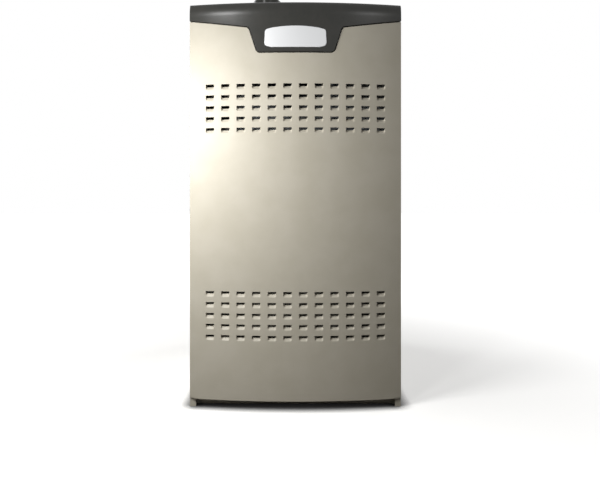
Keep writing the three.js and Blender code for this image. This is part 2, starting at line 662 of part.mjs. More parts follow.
function basePan() {
  const half = INNER_HALF - SEAT;
  const front = FLANGE_BACK + SEAT;
  const returnHole = rectangle(-RETURN_WIDTH / 2, RETURN_WIDTH / 2,
    RETURN_Y - RETURN_DEPTH / 2, RETURN_Y + RETURN_DEPTH / 2);
  const pan = tray(half, front, INNER_BACK - SEAT, 0, BASE_EDGE, [returnHole]);
  const toe = DOOR_EDGE + TOE_SETBACK;
  const toeTop = DOOR_BOTTOM - SEAT;
  const lipHalf = HALF_WIDTH - FRONT_FLANGE - 1;
  const lip = block(-lipHalf, lipHalf, toe, front + SHEET / 2, toeTop - SHEET, toeTop);
  const feet = [-1, 1].map((side) => {
    const [outer, inner] = [HALF_WIDTH, lipHalf - SHEET].map((x) => side * x);
    const wall = outer - side * SHEET;
    const outline = [
      point(outer, CABINET_FRONT - SEAT), point(outer, toe), point(inner, toe),
      point(inner, toe + SHEET), point(wall, toe + SHEET), point(wall, CABINET_FRONT - SEAT),
    ];
    return upward(outline, 0, toeTop);
  });
  return join(pan, lip, ...feet);
}

function supplyOpening(growth) {
  const half = INNER_HALF - SUPPLY_MARGIN + growth;
  return rectangle(-half, half, FRONT_WALL + SUPPLY_MARGIN - growth, INNER_BACK - SUPPLY_MARGIN + growth);
}

function topPanel() {
  const half = INNER_HALF - SEAT;
  const vent = circle(VENT_X, VENT_Y, COLLAR_RADIUS - 8);
  const lid = upward(rectangle(-HALF_WIDTH, HALF_WIDTH, CAP_BACK + SEAT, BACK), PANEL_BOTTOM, PANEL_TOP,
    [supplyOpening(0), vent]);
  const lip = upward(rectangle(-half, half, CAP_BACK + SEAT, INNER_BACK - SEAT), PANEL_BOTTOM - TOP_LIP,
    PANEL_BOTTOM + SHEET / 2, [rectangle(-half + SHEET, half - SHEET, CAP_BACK + SEAT + SHEET,
      INNER_BACK - SEAT - SHEET)]);
  const duct = upward(supplyOpening(SHEET), PANEL_BOTTOM, PANEL_TOP + DUCT_FLANGE, [supplyOpening(0)]);
  return join(lid, lip, duct);
}

function frontHeader() {
  const half = HALF_WIDTH - FRONT_FLANGE - SEAT;
  const top = SHELL_TOP - TOP_LIP - 2;
  const holes = [-STUD_X, STUD_X].map((x) => circle(x, STUD_Z, STUD_RADIUS + 3, 10));
  const low = SHELL_TOP - HEADER_HEIGHT;
  const plate = backward(rectangle(-half, half, low, top), CABINET_FRONT, FLANGE_BACK, holes);
  const foot = block(-half, half, CABINET_FRONT, FLANGE_BACK + 12, low, low + SHEET);
  const shelf = block(-half, half, CABINET_FRONT, FLANGE_BACK + 12, top - SHEET, top);
  const ears = [-1, 1].map((side) => {
    const [x0, x1] = [side * (half - 4), side * (INNER_HALF - SEAT)].sort((a, b) => a - b);
    return block(x0, x1, FLANGE_BACK + SEAT, FLANGE_BACK + 12, low, top);
  });
  return join(plate, foot, shelf, ...ears);
}

function blowerDeck() {
  const hole = rectangle(BLOWER_HOLE_FRONT, BLOWER_HOLE_FRONT + BLOWER_OUTLET - 2 * BLOWER_WALL,
    -BLOWER_WIDTH / 2 + BLOWER_WALL, BLOWER_WIDTH / 2 - BLOWER_WALL)
    .map(({ x, y }) => point(y, x));
  return tray(INNER_HALF - SEAT, FLANGE_BACK + SEAT, INNER_BACK - SEAT, DECK_HEIGHT, DECK_EDGE, [hole]);
}

function vestibulePanel() {
  const ports = [];
  for (let i = 0; i < CELL_COUNT; i += 1) {
    const x = cellX(i);
    ports.push(circle(x, CELL_FIRST_PASS, CELL_WIDTH / 2 - 2, 12));
    ports.push(circle(x, CELL_LAST_PASS, CELL_WIDTH / 2 - 2, 12));
  }
  const half = INNER_HALF - SHEET - 2 * SEAT;
  const low = DECK_TOP + SEAT;
  const high = PANEL_BOTTOM - SEAT;
  const sheet = backward(rectangle(-half, half, low, high), FRONT_WALL, FRONT_WALL + SHEET, ports);
  const foot = block(-half + LINER, half - LINER, FRONT_WALL - VESTIBULE_FOOT, FRONT_WALL + SHEET / 2,
    low, low + SHEET);
  return join(sheet, foot);
}

function insulationLiner() {
  const outer = INNER_HALF - SEAT - 1;
  const back = INNER_BACK - SEAT - SHEET - SEAT;
  const front = FRONT_WALL + SHEET + SEAT;
  const outline = [
    point(-outer, front), point(-outer + LINER, front), point(-outer + LINER, back - LINER),
    point(outer - LINER, back - LINER), point(outer - LINER, front), point(outer, front),
    point(outer, back), point(-outer, back),
  ].reverse();
  return upward(outline, DECK_HEIGHT + DECK_EDGE + SEAT, PANEL_BOTTOM - TOP_LIP - SEAT);
}

function accessPanel() {
  const half = HALF_WIDTH - ACCESS_SIDE;
  const y1 = CABINET_FRONT - SEAT;
  const sight = circle(SIGHT_X, SIGHT_Z, SIGHT_RADIUS, 16);
  const handle = filleted(rectangle(-45, 45, ACCESS_TOP - 62, ACCESS_TOP - 40), [10, 10, 10, 10], 3);
  const sheet = backward(rectangle(-half, half, ACCESS_BOTTOM, ACCESS_TOP), y1 - SHEET, y1, [sight, handle]);
  const lip = block(-half, half, y1 - 8, y1, ACCESS_TOP - SHEET, ACCESS_TOP);
  return join(sheet, lip);
}

// ---------------------------------------------------------------- heat exchanger
function cellX(index) {
  return (index - (CELL_COUNT - 1) / 2) * CELL_PITCH;
}

// A pressed cell seen from the side: one flat tube that goes back and forth as it climbs.
function heatCell() {
  const mouth = FRONT_WALL + SHEET + SEAT;
  const turn = CELL_PASS_PITCH / 2;
  const path = [[mouth, CELL_FIRST_PASS, 0]];
  for (let pass = 0; pass < CELL_PASSES - 1; pass += 1) {
    const back = pass % 2 === 0;
    const centreZ = CELL_FIRST_PASS + (pass + 0.5) * CELL_PASS_PITCH;
    for (let step = 0; step <= 5; step += 1) {
      const angle = -Math.PI / 2 + (step / 5) * Math.PI;
      const reach = turn * Math.cos(angle);
      path.push([back ? CELL_BACK + reach : CELL_FRONT_TURN - reach, centreZ + turn * Math.sin(angle),
        back ? angle + Math.PI / 2 : Math.PI / 2 - angle]);
    }
  }
  path.push([mouth, CELL_LAST_PASS, Math.PI]);
  const beside = (side) => path.map(([y, z, heading]) => point(
    y - side * Math.sin(heading) * (CELL_TUBE / 2), z + side * Math.cos(heading) * (CELL_TUBE / 2)));
  return sideways([...beside(-1), ...beside(1).reverse()], -CELL_WIDTH / 2, CELL_WIDTH / 2);
}

function cellRack() {
  const half = cellX(CELL_COUNT - 1) + CELL_WIDTH;
  const y = CELL_BACK + CELL_PASS_PITCH / 2 + CELL_TUBE / 2 + SEAT;
  const top = CELL_FIRST_PASS - CELL_TUBE / 2 - SEAT;
  const bar = block(-half, half, y - SUPPORT_DEPTH, y + SUPPORT_SHEET, top - SHEET, top);
  const legs = [-half, half - SUPPORT_LEG].map((x) => block(x, x + SUPPORT_LEG, y, y + SUPPORT_SHEET,
    DECK_TOP + SEAT, top));
  return join(bar, ...legs);
}

// ---------------------------------------------------------------- burners and gas train
const RACK_Y = FRONT_WALL - RACK_SETBACK;
const MANIFOLD_Y = FRONT_WALL - MANIFOLD_SETBACK;
const BURNER_TIP = FRONT_WALL - BURNER_GAP;
const BURNER_MOUTH = BURNER_TIP - BURNER_LENGTH;
const BURNER_SIDES = 8;
const VALVE_LEFT = MANIFOLD_LEFT - VALVE_WIDTH / 2;
const VALVE_Y = MANIFOLD_Y;
const VALVE_Z = VALVE_BOTTOM + VALVE_HEIGHT / 2;
const JUNCTION_MIDDLE = JUNCTION_BOTTOM + JUNCTION_HEIGHT / 2;
const JUNCTION_Y = FRONT_WALL - SEAT - JUNCTION_DEPTH / 2;
const BLOWER_HOLE_FRONT = BLOWER_Y - BLOWER_END + BLOWER_WALL;

// An inshot burner along +Y: bell mouth, throat, and a flared flame end.
function burner() {
  const wall = 1.5;
  const throat = BURNER_RADIUS - BELL_NARROWING;
  const outside = [
    [BURNER_RADIUS, 0], [throat, BELL_LENGTH], [BURNER_RADIUS, BURNER_LENGTH - 16],
    [BURNER_FLARE, BURNER_LENGTH - 16], [BURNER_FLARE, BURNER_LENGTH],
  ];
  const inside = [
    [BURNER_FLARE - wall, BURNER_LENGTH], [BURNER_FLARE - wall, BURNER_LENGTH - 14],
    [BURNER_RADIUS - wall, BURNER_LENGTH - 18], [throat - wall, BELL_LENGTH], [BURNER_RADIUS - wall, 0],
  ];
  return revolved([...outside, ...inside, outside[0]], BURNER_SIDES).rotateX(-Math.PI / 2);
}

function burnerRack() {
  const low = CELL_FIRST_PASS - RACK_HEIGHT / 2;
  const high = CELL_FIRST_PASS + RACK_HEIGHT / 2;
  const alongBell = THREE.MathUtils.clamp((RACK_Y - BURNER_MOUTH) / BELL_LENGTH, 0, 1);
  const hole = BURNER_RADIUS - BELL_NARROWING * alongBell + 2 * SEAT;
  const holes = Array.from({ length: CELL_COUNT }, (_, i) => (
    circle(cellX(i), CELL_FIRST_PASS, hole, BURNER_SIDES)));
  const plate = backward(rectangle(-RACK_HALF, RACK_HALF, low, high), RACK_Y, RACK_Y + SHEET, holes);
  const back = FRONT_WALL - SEAT;
  const floor = block(-RACK_HALF, RACK_HALF, RACK_Y, back, low, low + SHEET);
  const roof = block(-RACK_HALF, RACK_HALF, RACK_Y, back, high - SHEET, high);
  const rest = CELL_FIRST_PASS - MANIFOLD_RADIUS - SEAT;
  const cradles = [0, CELL_COUNT - 2].map((i) => (cellX(i) + cellX(i + 1)) / 2).map((x) => join(
    block(x - 12, x + 12, MANIFOLD_Y - 6, RACK_Y + SHEET, low, low + SHEET),
    block(x - 1, x + 1, MANIFOLD_Y - 6, MANIFOLD_Y + 6, low, rest)));
  return join(plate, floor, roof, ...cradles);
}

function gasManifold() {
  const right = cellX(CELL_COUNT - 1) + 24;
  const left = MANIFOLD_LEFT - MANIFOLD_RADIUS;
  const run = rod('x', MANIFOLD_RADIUS, left - 4, right, MANIFOLD_Y, CELL_FIRST_PASS, 16);
  const riser = rod('z', MANIFOLD_RADIUS, CELL_FIRST_PASS, VALVE_BOTTOM - SEAT, MANIFOLD_LEFT,
    MANIFOLD_Y, 16);
  const spuds = Array.from({ length: CELL_COUNT }, (_, i) => (
    rod('y', SPUD_RADIUS, MANIFOLD_Y, BURNER_MOUTH - 6, cellX(i), CELL_FIRST_PASS, 6)));
  const endCap = rod('x', MANIFOLD_RADIUS + 3, right - 16, right + 4, MANIFOLD_Y, CELL_FIRST_PASS, 8);
  const elbow = rod('x', MANIFOLD_RADIUS + 3, left - 8, MANIFOLD_LEFT + 18, MANIFOLD_Y, CELL_FIRST_PASS, 8);
  return join(run, riser, endCap, elbow, ...spuds);
}

const rackTop = CELL_FIRST_PASS + RACK_HEIGHT / 2;
const rackBottom = CELL_FIRST_PASS - RACK_HEIGHT / 2;

function gasValve() {
  const y0 = VALVE_Y - VALVE_DEPTH / 2;
  const y1 = VALVE_Y + VALVE_DEPTH / 2;
  const x1 = VALVE_LEFT + VALVE_WIDTH;
  const high = VALVE_BOTTOM + VALVE_HEIGHT;
  const body = backward(filleted(rectangle(VALVE_LEFT, x1, VALVE_BOTTOM, high), [8, 8, 8, 8], 3), y0, y1);
  const coil = rod('z', 17, high, high + 22, VALVE_LEFT + 24, VALVE_Y, 16);
  const regulator = rod('z', 11, high, high + 14, x1 - 18, VALVE_Y - 10, 12);
  const boss = rod('y', KNOB_RADIUS + 3, y0 - 3, y0, MANIFOLD_LEFT, VALVE_Z, 20);
  const spindleHole = rod('y', 4 + SEAT, y0 - 4, y0 + 14, MANIFOLD_LEFT, VALVE_Z, 12);
  return cut(join(body, coil, regulator, boss), spindleHole);
}

const VALVE_FACE = VALVE_Y - VALVE_DEPTH / 2 - 3;

// The knob has a grip bar across it and a spindle that turns in the valve.
function valveKnob() {
  const face = VALVE_FACE - SEAT;
  const disc = rod('y', KNOB_RADIUS, face - 5, face, MANIFOLD_LEFT, VALVE_Z, 20, KNOB_RADIUS);
  const grip = block(MANIFOLD_LEFT - 4, MANIFOLD_LEFT + 4, face - KNOB_LENGTH, face - 4,
    VALVE_Z - KNOB_RADIUS + 1, VALVE_Z + KNOB_RADIUS - 1);
  const spindle = rod('y', 4, face - 2, VALVE_FACE + 12, MANIFOLD_LEFT, VALVE_Z, 12);
  return join(disc, grip, spindle);
}

function gasInletPipe() {
  const end = VALVE_LEFT - SEAT;
  const outer = rod('x', GAS_PIPE_RADIUS, -HALF_WIDTH, end, VALVE_Y, VALVE_Z, 16);
  const bore = rod('x', GAS_PIPE_RADIUS - 2.8, -HALF_WIDTH - 1, end - 6, VALVE_Y, VALVE_Z, 16);
  return cut(outer, bore);
}

function gasGrommet() {
  const inner = GAS_PIPE_RADIUS + SEAT;
  const hole = GAS_PIPE_RADIUS + 3 - SEAT;
  const profile = [
    [inner, 0], [hole, 0], [hole, STEEL_IN], [hole + 4, STEEL_IN], [hole + 4, STEEL_IN + 3],
    [inner, STEEL_IN + 3], [inner, 0],
  ];
  return revolved(profile, 16).rotateY(Math.PI / 2).translate(-HALF_WIDTH, VALVE_Y, VALVE_Z);
}

function igniter() {
  const x = RACK_HALF - 11;
  const y = BURNER_TIP - 34;
  const foot = rackBottom + SHEET + SEAT;
  const base = block(x - 7, x + 7, y - 12, y + 12, foot, foot + 26);
  const blade = block(x - 18, x, y - 2, y + 2, foot + 16, foot + 22);
  return join(base, blade);
}

function flameSensor() {
  const x = -RACK_HALF + 11;
  const y = BURNER_TIP - 30;
  const foot = rackBottom + SHEET + SEAT;
  const base = rod('z', 5, foot, foot + 30, x, y, 10);
  const probe = rod('x', 1.6, x, x + 20, y, foot + 24, 8);
  return join(base, probe);
}

function rolloutSwitch(x) {
  const foot = rackTop + SEAT;
  const y = FRONT_WALL - 40;
  const disc = rod('z', ROLLOUT_RADIUS, foot, foot + ROLLOUT_HEIGHT, x, y, 16);
  const ears = block(x - 19, x + 19, y - 6, y + 6, foot, foot + 1.5);
  const hole = rod('z', RESET_RADIUS + SEAT, foot + 4, foot + ROLLOUT_HEIGHT + 1, x, y, 12);
  return cut(join(disc, ears), hole);
}

function resetButton(x) {
  const foot = rackTop + SEAT + 4 + RESET_TRAVEL + SEAT;
  return rod('z', RESET_RADIUS, foot, rackTop + ROLLOUT_HEIGHT + RESET_TRAVEL + 3, x, FRONT_WALL - 40, 12);
}

function limitSwitch() {
  const y = FRONT_WALL - SEAT;
  const x = INNER_HALF - LIMIT_INSET;
  const z = CELL_FIRST_PASS + LIMIT_RISE;
  const plate = block(x - LIMIT_WIDTH / 2, x + LIMIT_WIDTH / 2, y - 1.5, y,
    z - LIMIT_HEIGHT / 2, z + LIMIT_HEIGHT / 2);
  const disc = rod('y', LIMIT_RADIUS, y - 12, y, x, z, 16);
  const tabs = block(x - 6, x + 6, y - 20, y - 10, z - 4, z + 4);
  return join(plate, disc, tabs);
}

// ---------------------------------------------------------------- scroll housings
// A snail outline whose outlet rises at its left: the radius grows as it winds clockwise.
function scroll(cx, cz, start, end, outlet, top) {
  const tongue = Math.acos((outlet - end) / start);
  const steps = 20;
  const spiral = Array.from({ length: steps + 1 }, (_, i) => {
    const angle = tongue - (i / steps) * (tongue + Math.PI);
    const radius = start + ((end - start) * i) / steps;
    return point(cx + radius * Math.cos(angle), cz + radius * Math.sin(angle));
  });
  return [...spiral, point(cx - end, top), point(cx - end + outlet, top)].reverse();
}

function collectorBox() {
  const z0 = CELL_LAST_PASS - COLLECTOR_HEIGHT / 2;
  const z1 = CELL_LAST_PASS + COLLECTOR_HEIGHT / 2;
  const back = FRONT_WALL - SEAT;
  const box = block(-COLLECTOR_HALF, COLLECTOR_HALF, COLLECTOR_FRONT, back, z0, z1);
  const hollow = block(-COLLECTOR_HALF + SHEET, COLLECTOR_HALF - SHEET, COLLECTOR_FRONT + SHEET, back + 1,
    z0 + SHEET, z1 - SHEET);
  const inlet = rod('y', INDUCER_INLET, COLLECTOR_FRONT - 1, COLLECTOR_FRONT + SHEET + 1, INDUCER_X,
    INDUCER_Z);
  const port = rod('x', HOSE_RADIUS - 1, -COLLECTOR_HALF - 12, -COLLECTOR_HALF + SHEET / 2, PORT_Y,
    PORT_Z, 8);
  return join(cut(box, hollow, inlet), port);
}

const PORT_Y = COLLECTOR_FRONT + COLLECTOR_DEPTH / 2;
const PORT_Z = CELL_LAST_PASS - 22;

function inducerHousing() {
  const [front, back] = [INDUCER_FRONT + INDUCER_WALL, INDUCER_BACK - INDUCER_WALL];
  const snail = (inset, top) => scroll(INDUCER_X, INDUCER_Z, INDUCER_START - inset, INDUCER_END - inset,
    INDUCER_OUTLET - 2 * inset, top);
  const outer = backward(snail(0, INDUCER_TOP), INDUCER_FRONT, INDUCER_BACK);
  const inner = backward(snail(INDUCER_WALL, INDUCER_TOP + 1), front, back);
  const inlet = rod('y', INDUCER_INLET, back - 1, INDUCER_BACK + 1, INDUCER_X, INDUCER_Z);
  const shaftHole = rod('y', 12, INDUCER_FRONT - 1, front + 1, INDUCER_X, INDUCER_Z, 16);
  return cut(outer, inner, inlet, shaftHole);
}

function inducerWheel() {
  const back = INDUCER_BACK - INDUCER_WALL - 4;
  const front = back - INDUCER_WHEEL_WIDTH;
  const disc = rod('y', INDUCER_WHEEL_RADIUS, front, front + 2, INDUCER_X, INDUCER_Z, 20);
  const hub = rod('y', 9, front - 2, front + 12, INDUCER_X, INDUCER_Z, 16);
  const shaft = rod('y', INDUCER_SHAFT, INDUCER_MOTOR_BACK - 24, front + 4, INDUCER_X, INDUCER_Z, 12);
  const vanes = Array.from({ length: INDUCER_VANES }, (_, i) => {
    const vane = block(24, INDUCER_WHEEL_RADIUS - 1, front + 1, back, -1, 1);
    return vane.rotateY(-0.5).translate(5, 0, -14).rotateY((i / INDUCER_VANES) * 2 * Math.PI)
      .translate(INDUCER_X, 0, INDUCER_Z);
  });
  return join(disc, hub, shaft, ...vanes);
}

const INDUCER_MOTOR_BACK = INDUCER_FRONT - 9;

function inducerMotor() {
  const back = INDUCER_MOTOR_BACK;
  const front = back - INDUCER_MOTOR_LENGTH;
  const can = rod('y', INDUCER_MOTOR_RADIUS, front, back, INDUCER_X, INDUCER_Z, 24);
  const feet = [0, 1, 2].map((i) => {
    const foot = block(INDUCER_MOTOR_RADIUS - 8, INDUCER_MOTOR_RADIUS + 10, back - 3,
      INDUCER_FRONT - SEAT, -5, 5);
    return foot.rotateY((i / 3) * 2 * Math.PI + Math.PI / 6).translate(INDUCER_X, 0, INDUCER_Z);
  });
  const bore = rod('y', INDUCER_SHAFT + SEAT, back - 28, back + 1, INDUCER_X, INDUCER_Z, 12);
  return cut(join(can, ...feet), bore);
}

function ventPipe() {
  const inner = VENT_OUTER - VENT_WALL;
  const profile = [
    [inner, INDUCER_TOP + SEAT], [VENT_OUTER + 4, INDUCER_TOP + SEAT], [VENT_OUTER + 4, INDUCER_TOP + 3],
    [VENT_OUTER, INDUCER_TOP + 3], [VENT_OUTER, VENT_TOP], [inner, VENT_TOP], [inner, INDUCER_TOP + SEAT],
  ];
  return revolved(profile, 20);
}

function ventCollar() {
  const inner = VENT_OUTER + SEAT;
  const low = PANEL_TOP + SEAT;
  const profile = [
    [inner, low], [COLLAR_FLANGE_RADIUS, low], [COLLAR_FLANGE_RADIUS, low + 2.5],
    [COLLAR_RADIUS + 3, low + 3.5], [COLLAR_RADIUS, low + 7], [COLLAR_RADIUS, COLLAR_TOP - COLLAR_SHOULDER],
    [(COLLAR_RADIUS + COLLAR_TOP_RADIUS) / 2 + 2, COLLAR_TOP - COLLAR_SHOULDER / 3],
    [COLLAR_TOP_RADIUS, COLLAR_TOP], [inner, COLLAR_TOP], [inner, low],
  ];
  return revolved(profile, 20);
}

// ---------------------------------------------------------------- circulating blower
function blowerHousing() {
  const half = BLOWER_WIDTH / 2;
  const top = DECK_HEIGHT - SEAT;
  const snail = (inset, high) => scroll(BLOWER_Y, BLOWER_Z, BLOWER_START - inset, BLOWER_END - inset,
    BLOWER_OUTLET - 2 * inset, high);
  const outer = sideways(snail(0, top), -half, half);
  const inner = sideways(snail(BLOWER_WALL, top + 1), -half + BLOWER_WALL, half - BLOWER_WALL);
  const inlet = rod('x', BLOWER_INLET, -half - 1, half + 1, BLOWER_Y, BLOWER_Z, 24);
  return cut(outer, inner, inlet);
}

function blowerWheel() {
  const half = WHEEL_WIDTH / 2;
  const ringAt = (x) => sideways(circle(0, 0, WHEEL_RADIUS, WHEEL_BLADES), x, x + WHEEL_RIM,
    [circle(0, 0, WHEEL_RADIUS - BLADE_DEPTH, WHEEL_BLADES)]);
  const disc = rod('x', WHEEL_RADIUS - BLADE_DEPTH / 2, -1.5, 1.5, 0, 0, WHEEL_BLADES);
  const hub = rod('x', WHEEL_HUB, -28, 22, 0, 0, 16);
  const shaft = rod('x', WHEEL_SHAFT, MOTOR_INNER_END - 34, 40, 0, 0, 12);
  const blades = Array.from({ length: WHEEL_BLADES }, (_, i) => {
    const blade = block(-half + 1, half - 1, -0.9, 0.9, -BLADE_DEPTH / 2 + 1.5, BLADE_DEPTH / 2 - 1.5);
    return blade.rotateX(0.45).translate(0, 0, WHEEL_RADIUS - BLADE_DEPTH / 2 - 1)
      .rotateX(((i + 0.5) / WHEEL_BLADES) * 2 * Math.PI);
  });
  return join(ringAt(-half), ringAt(half - WHEEL_RIM), disc, hub, shaft, ...blades)
    .translate(0, BLOWER_Y, BLOWER_Z);
}

const MOTOR_OUTER_END = -BLOWER_WIDTH / 2 - MOTOR_OUTSIDE;
const MOTOR_INNER_END = MOTOR_OUTER_END + MOTOR_LENGTH;

function blowerMotor() {
  const can = rod('x', MOTOR_RADIUS, MOTOR_OUTER_END + 8, MOTOR_INNER_END - 8, BLOWER_Y, BLOWER_Z, 20);
  const ends = rod('x', MOTOR_RADIUS - 9, MOTOR_OUTER_END, MOTOR_INNER_END, BLOWER_Y, BLOWER_Z, 20);
  const bore = rod('x', WHEEL_SHAFT + SEAT, MOTOR_INNER_END - 40, MOTOR_INNER_END + 1, BLOWER_Y,
    BLOWER_Z, 12);
  return cut(join(can, ends), bore);
}

function motorMount() {
  const inner = MOTOR_RADIUS + SEAT;
  const x1 = -BLOWER_WIDTH / 2 - SEAT;
  const x0 = x1 - MOTOR_BAND_WIDTH;
  const band = sideways(circle(0, 0, inner + MOTOR_BAND, 20), x0, x1, [circle(0, 0, inner, 20)]);
  const arms = [0, 1, 2].map((i) => {
    const arm = block(x1 - 3, x1, -9, 9, inner + 1, BLOWER_INLET + 16);
    const web = block(x0, x1, -1.5, 1.5, inner + 1, BLOWER_INLET - 8);
    return join(arm, web).rotateX((i / 3) * 2 * Math.PI);
  });
  return join(band, ...arms).translate(0, BLOWER_Y, BLOWER_Z);
}

// ---------------------------------------------------------------- controls
const BOX_BACK = CABINET_FRONT + BOX_SETBACK;
const BOX_TOP = DECK_HEIGHT - SEAT;

function controlBox() {
  const z0 = BOX_TOP - BOX_HEIGHT;
  const y0 = BOX_BACK - BOX_DEPTH;
  const box = block(-BOX_HALF, BOX_HALF, y0, BOX_BACK, z0, BOX_TOP);
  const half = BOX_HALF - SHEET;
  const hollow = block(-half, half, y0 - 1, BOX_BACK - SHEET, z0 + SHEET, BOX_TOP - SHEET);
  return cut(box, hollow);
}

function controlBoard() {
  const y1 = BOX_BACK - SHEET - SEAT;
  const x0 = -BOX_HALF + SHEET + 5;
  const z0 = BOX_TOP - BOX_HEIGHT + SHEET + 8;
  const face = y1 - 8 - BOARD_THICKNESS;
  const board = block(x0, x0 + BOARD_WIDTH, face, face + BOARD_THICKNESS, z0, z0 + BOARD_HEIGHT);
  const posts = [[8, 8], [BOARD_WIDTH - 8, 8], [8, BOARD_HEIGHT - 8], [BOARD_WIDTH - 8, BOARD_HEIGHT - 8]]
    .map(([u, v]) => rod('y', 3, face + 1, y1, x0 + u, z0 + v, 8));
  const [x1, z1] = [x0 + BOARD_WIDTH, z0 + BOARD_HEIGHT];
  const relays = [0, 1, 2, 3].map((i) => block(
    x0 + 14 + i * 26, x0 + 32 + i * 26, face - 16, face + 1, z1 - 40, z1 - 14));
  const terminals = block(x0 + 12, x1 - 52, face - 10, face + 1, z0 + 8, z0 + 20);
  const plug = block(x1 - 30, x1 - 14, face - 12, face + 1, z0 + 30, z1 - 22);
  return join(board, ...posts, ...relays, terminals, plug);
}

function transformer() {
  const x1 = INNER_HALF - 20;
  const x0 = x1 - TRANSFORMER_WIDTH;
  const y0 = BOX_BACK - BOX_DEPTH;
  const top = BOX_TOP;
  const core = block(x0, x1, y0 + 8, y0 + 30, top - 52, top - 4);
  const coil = block(x0 + 14, x1 - 14, y0, y0 + 38, top - 44, top - 12);
  const foot = block(x0 - 8, x1 + 8, y0 + 6, y0 + 32, top - 5, top);
  return join(core, coil, foot);
}

function doorSwitch() {
  const y1 = CABINET_FRONT - 2 * SEAT - SHEET;
  const y0 = y1 - SWITCH_DEPTH;
  const body = block(SWITCH_X - 13, SWITCH_X + 13, y0, y1, SWITCH_Z - 8, SWITCH_Z + 8);
  const hole = block(SWITCH_X - 4 - SEAT, SWITCH_X + 4 + SEAT, y0 - 1, y0 + 8, SWITCH_Z - 3 - SEAT,
    SWITCH_Z + 3 + SEAT);
  return cut(body, hole);
}

// The door's stiffener presses this pin; it comes out when the door comes off.
function switchPin() {
  const tip = bowedFacet(SWITCH_X + 4, DOOR_FRONT) + STEEL_IN + STIFFENER_DEPTH + SEAT;
  const inner = CABINET_FRONT - 2 * SEAT - SHEET - SWITCH_DEPTH + 8 - SEAT;
  return block(SWITCH_X - 4, SWITCH_X + 4, tip, inner, SWITCH_Z - 3, SWITCH_Z + 3);
}

function pressureSwitch() {
  const y1 = FRONT_WALL - SEAT;
  const y0 = y1 - PRESSURE_DEPTH;
  const profile = [
    [0, 0], [PRESSURE_RADIUS - 6, 0], [PRESSURE_RADIUS - 4, 9], [PRESSURE_RADIUS, 10],
    [PRESSURE_RADIUS, 14], [PRESSURE_RADIUS - 4, 15], [PRESSURE_RADIUS - 10, PRESSURE_DEPTH],
    [0, PRESSURE_DEPTH],
  ];
  const body = revolved(profile, 16).rotateX(-Math.PI / 2).translate(PRESSURE_X, y0, PRESSURE_Z);
  const barb = rod('y', HOSE_RADIUS - 1, y0 - 14, y0 + 2, PRESSURE_X, PRESSURE_Z, 8);
  return join(body, barb);
}

function pressureHose() {
  const y0 = FRONT_WALL - SEAT - PRESSURE_DEPTH - 14 - SEAT;
  const end = -COLLECTOR_HALF - 12 - SEAT;
  const route = [
    [PRESSURE_X, y0, PRESSURE_Z], [PRESSURE_X, y0 - 12, PRESSURE_Z],
    [PRESSURE_X + 1, y0 - 22, PRESSURE_Z + 12], [PRESSURE_X + 2, y0 - 14, PRESSURE_Z + 40],
    [PRESSURE_X + 8, PORT_Y - 8, PORT_Z - 3],
    [end - 8, PORT_Y, PORT_Z], [end, PORT_Y, PORT_Z],
  ].map(([x, y, z]) => new THREE.Vector3(x, y, z));
  return piped(new THREE.CatmullRomCurve3(route), HOSE_RADIUS, 18, 6);
}

function junctionBox() {
  const x1 = INNER_HALF - SEAT;
  const x0 = x1 - JUNCTION_WIDTH;
  const y0 = JUNCTION_Y - JUNCTION_DEPTH / 2;
  const y1 = JUNCTION_Y + JUNCTION_DEPTH / 2;
  const z1 = JUNCTION_BOTTOM + JUNCTION_HEIGHT;
  const box = block(x0, x1, y0, y1, JUNCTION_BOTTOM, z1);
  const hollow = block(x0 + SHEET, x1 - SHEET, y0 - 1, y1 - SHEET, JUNCTION_BOTTOM + SHEET, z1 - SHEET);
  const knockout = rod('x', 11, x1 - SHEET - 1, x1 + 1, JUNCTION_Y, JUNCTION_MIDDLE, 16);
  return cut(box, hollow, knockout);
}

function junctionCover() {
  const x1 = INNER_HALF - SEAT;
  const y1 = JUNCTION_Y - JUNCTION_DEPTH / 2 - SEAT;
  return block(x1 - JUNCTION_WIDTH, x1, y1 - SHEET, y1, JUNCTION_BOTTOM, JUNCTION_BOTTOM + JUNCTION_HEIGHT);
}

function sightGlass() {
  const y = CABINET_FRONT - SEAT - SHEET;
  const inner = SIGHT_RADIUS - SEAT;
  const profile = [[0, -SHEET], [SIGHT_RADIUS + 4, -SHEET - 1], [SIGHT_RADIUS + 4, -SEAT], [inner, -SEAT],
    [inner, SHEET], [0, SHEET]];
  return revolved(profile, 16).rotateX(-Math.PI / 2).translate(SIGHT_X, y, SIGHT_Z);
}

// ---------------------------------------------------------------- finishes
const FINISHES = {
  champagne_paint: [0xb9b4a6, 0.42, 0.25],
  grey_paint: [0x8f8d86, 0.5, 0.2],
  galvanised: [0xa9adb0, 0.42, 0.85],
  charcoal_plastic: [0x43433f, 0.42, 0.05],
  black_plastic: [0x1d1e1f, 0.5, 0.02],
  silver_plate: [0xc9cacb, 0.3, 0.9],
  foil_blanket: [0xc4c6c8, 0.35, 0.8],
  aluminised_steel: [0x9a9da0, 0.5, 0.85],
  black_pipe: [0x2b2b2c, 0.6, 0.4],
  cast_aluminium: [0xa0a2a4, 0.5, 0.85],
  red_plastic: [0xa8271f, 0.45, 0.0],
  ceramic: [0xe5e0d4, 0.6, 0.0],
  board_green: [0x23563a, 0.5, 0.0],
  rubber: [0x1a1a1a, 0.8, 0.0],
  clear_glass: [0xc9d4d6, 0.08, 0.0],
  motor_black: [0x232426, 0.55, 0.3],
  brass: [0xb08d4c, 0.35, 0.9],
};

function piece(name, geometry, finish) {
  const [color, roughness, metalness] = FINISHES[finish];
  const faceted = geometry.index ? geometry.toNonIndexed() : geometry;
  faceted.computeVertexNormals();
  const mesh = new THREE.Mesh(faceted, new THREE.MeshStandardMaterial({ color, roughness, metalness }));
  mesh.name = name;
  return mesh;
}

